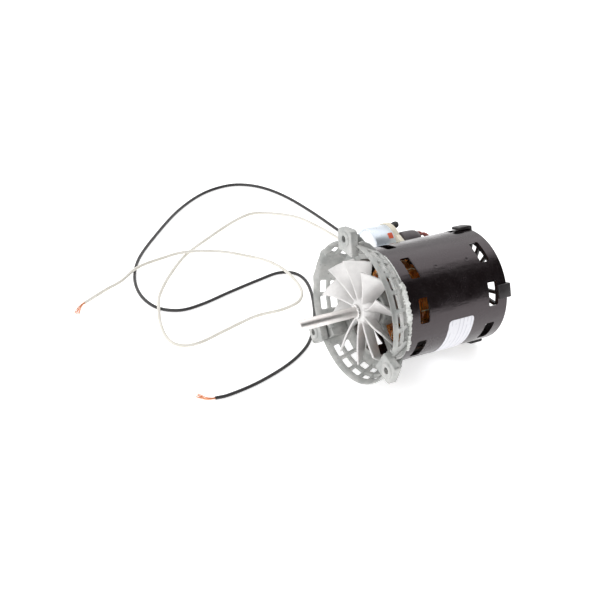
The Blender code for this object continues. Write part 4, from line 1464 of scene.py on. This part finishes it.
@dataclass
class Capacitor:
    """The capacitor beside the shell: can, clamp, plate, boot, knob, mark and its two short wires."""

    radius: float = 14.6
    angle: float = -62.0
    reach: float = 58.7
    front: float = 49.5
    rear: float = 70.6

    def centre(self) -> tuple[float, float]:
        """Returns the can's axis as (x, z)."""
        place = AXES.polar(self.reach, self.angle, 0)
        return place.x, place.z

    def can(self) -> None:
        """Turns the can with its rolled front rim and slightly sunk end."""
        r, y = self.radius, self.front
        side = (
            (r - 1.9, y + 0.75), (r - 1.3, y + 0.15), (r - 0.7, y), (r - 0.15, y + 0.45), (r, y + 1.2),
            (r, self.rear - 5.2), (
                r - 0.35, self.rear - 4.6
            ), (r, self.rear - 4.0), (r, self.rear), (r - 0.8, self.rear),
            (r - 0.8, y + 1.6), (r - 1.9, y + 1.5),
        )
        Bench.finish(
            Bench.lathe(side, 128, self.centre()), "capacitor_case", "can_metal", Body.FRAME,
            ["capacitor_can"]
        )
        end = (
            (0, y + 0.35), (4.0, y + 0.38), (9.0, y + 0.5), (r - 1.95, y + 0.8), (r - 1.95, y + 1.4),
            (0, y + 1.4)
        )
        # The end disc takes the near-white finish, a painted highlight on the can's face.
        Bench.finish(Bench.lathe(end, 96, self.centre()), "capacitor_end", "can_end_painted_highlight", Body.FRAME, [])

    def clamp(self) -> None:
        """Models the clamp's band and feet, and the plate under them."""
        r = self.radius + 0.05
        band = Bench.lathe(
            ((r, 66.6), (r, 71.0), (r + 0.6, 71.0), (r + 0.85, 70.7), (r + 0.85, 66.9), (r + 0.6, 66.6)), 128,
            self.centre()
        )
        feet = []
        for side in (-1, 1):
            near, far = sorted((side * 9.0, side * 14.5))
            foot = Bench.block((near, 66.9, 43.25), (far, 70.8, self.reach - 7.5))
            feet.append(Bench.turn(Bench.ease(foot, 0.5), self.angle))
        hollow = Bench.lathe(((0, 80), (r + 0.2, 80), (r + 0.2, 60), (0, 60)), 96, self.centre())
        clamp = Bench.join([band, Bench.cut(Bench.join(feet), hollow)])
        Bench.finish(clamp, "capacitor_band", "cream_moulding", Body.FRAME, ["capacitor_clamp"])
        outline = [Vector((x, 67.0 + y, 42.3)) for x, y in rounded(31.0, 40.0, 2.0)]
        plate = Bench.ease(Bench.prism(outline, Vector((0, 0, 0.6))), 0.15, 1, 60)
        Bench.finish(
            Bench.turn(plate, self.angle), "capacitor_base", "zinc_sheet", Body.FRAME, ["capacitor_plate"]
        )

    def rubber(self) -> None:
        """Models the lid, the boot over the joints and the knob."""
        lid = ((0, 70.4), (9.0, 70.4), (12.9, 70.1), (13.4, 69.6), (13.4, 66.3), (0, 66.3))
        lid_piece = Bench.lathe(lid, 96, self.centre())
        Bench.finish(lid_piece, "capacitor_cover", "boot_rubber", Body.FRAME, ["capacitor_lid"])
        place = AXES.polar(51.5, -56, 0)
        profile = (
            (0, 91.9), (1.8, 91.8), (4.2, 91.0), (6.0, 89.8), (7.2, 87.8), (7.8, 85.2), (8.0, 81.0),
            (8.0, 76.4)
        )
        profile += ((7.8, 74.6), (7.2, 73.7), (0, 73.6))
        boot = Bench.lathe(profile, 72, (place.x, place.z))
        below = Bench.turn(Bench.block((-26, 70, 20), (26, 96, 43.2)), self.angle)
        Bench.finish(
            Bench.ease(Bench.cut(boot, below), 0.4), "joint_boot", "boot_rubber", Body.FRAME,
            ["capacitor_boot"]
        )
        place = AXES.polar(64.8, -50.5, 0)
        knob = (
            (0, 77.2), (1.1, 77.1), (2.1, 76.5), (2.6, 75.4), (2.6, 73.2), (2.1, 72.6), (2.1, 71.2), (0, 71.2)
        )
        Bench.finish(
            Bench.lathe(knob, 40, (place.x, place.z)), "rubber_knob", "black_rubber", Body.FRAME,
            ["terminal_knob"]
        )

    def mark(self) -> None:
        """Cuts the small square mark out of a thin ring round the can."""
        low, high = self.radius + 0.06, self.radius + 0.2
        ring = Bench.lathe(((low, 58), (high, 58), (high, 70), (low, 70)), 120, self.centre())
        x, z = self.centre()
        outline = [Vector((a, 63.6 + b, 5.0)) for a, b in rounded(4.6, 4.0, 0.35, 2)]
        tool = Bench.prism(outline, Vector((0, 0, 14)))
        turn = Matrix.Translation((x, 0, z)) @ Matrix.Rotation(math.radians(51), 4, "Y")
        Bench.cut(ring, Bench.move(tool, turn), keep=True)
        Bench.finish(ring, "square_mark", "red_mark", Body.FRAME, ["capacitor_mark"])

    def wires(self) -> None:
        """Bends the two short wires from the boot over the shell into a slot."""
        for number, offset in ((1, 0.0), (2, 3.2)):
            route = (
                AXES.polar(52.6 + offset, -54.5, 90.6),
                AXES.polar(53.0 + offset, -54.0, 92.4),
                AXES.polar(52.5 + offset, -51.5 - offset, 95.0),
                AXES.polar(47.0 + offset / 2, -49.5 - offset, 96.5),
                AXES.polar(40.5, -49.5 - offset, 95.5),
                AXES.polar(37.4, -49.5 - offset, 93.0),
            )
            wire = Bench.solid(Bench.wire(smooth_route(route, 6), 0.9, 4))
            Bench.finish(wire, f"short_wire_{number}", "brown_sleeve", Body.FRAME, [f"jumper_wire_{number}"])

    def build(self) -> None:
        """Builds the whole capacitor."""
        self.can()
        self.clamp()
        self.rubber()
        self.mark()
        self.wires()


# ---- whole ---------------------------------------------------------------------------------------

KEPT_NODES = {
    "stator_core": "stator_sheets",
    "rotor_core": "stator_sheets",
    "rotor_ring_front": "rotor_casting",
    "rotor_ring_rear": "rotor_casting",
    "front_snap_ring": "bearing_steel",
    "rear_snap_ring": "bearing_steel",
    "front_bearing_outer": "bearing_steel",
    "front_bearing_inner": "bearing_steel",
    "rear_bearing_outer": "bearing_steel",
    "rear_bearing_inner": "bearing_steel",
    "front_bearing_cage": "cage_metal",
    "rear_bearing_cage": "cage_metal",
    "wave_washer": "bolt_steel",
    "capacitor_roll": "wound_film",
}


def dress_kept_nodes(nodes: dict[str, bpy.types.Object]) -> None:
    """Gives the frame's own parts that stay in sight their finishes."""
    for node, finish in KEPT_NODES.items():
        for slot in nodes[node].material_slots:
            slot.material = PAINT.material(finish)


def main() -> None:
    """Builds every part of the scene in order."""
    logging.basicConfig(level=logging.INFO, format="%(name)s: %(message)s")
    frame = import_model()
    parts: tuple[Callable[[], None], ...] = (
        Studio().build,
        Leads().build,
        Shell().build,
        FrontBracket().build,
        RearEndshield().build,
        CoolingFan().build,
        Shaft().build,
        Windings().build,
        Capacitor().build,
    )
    for build in parts:
        build()
    dress_kept_nodes(frame["nodes"])


if __name__ == "__main__":
    main()
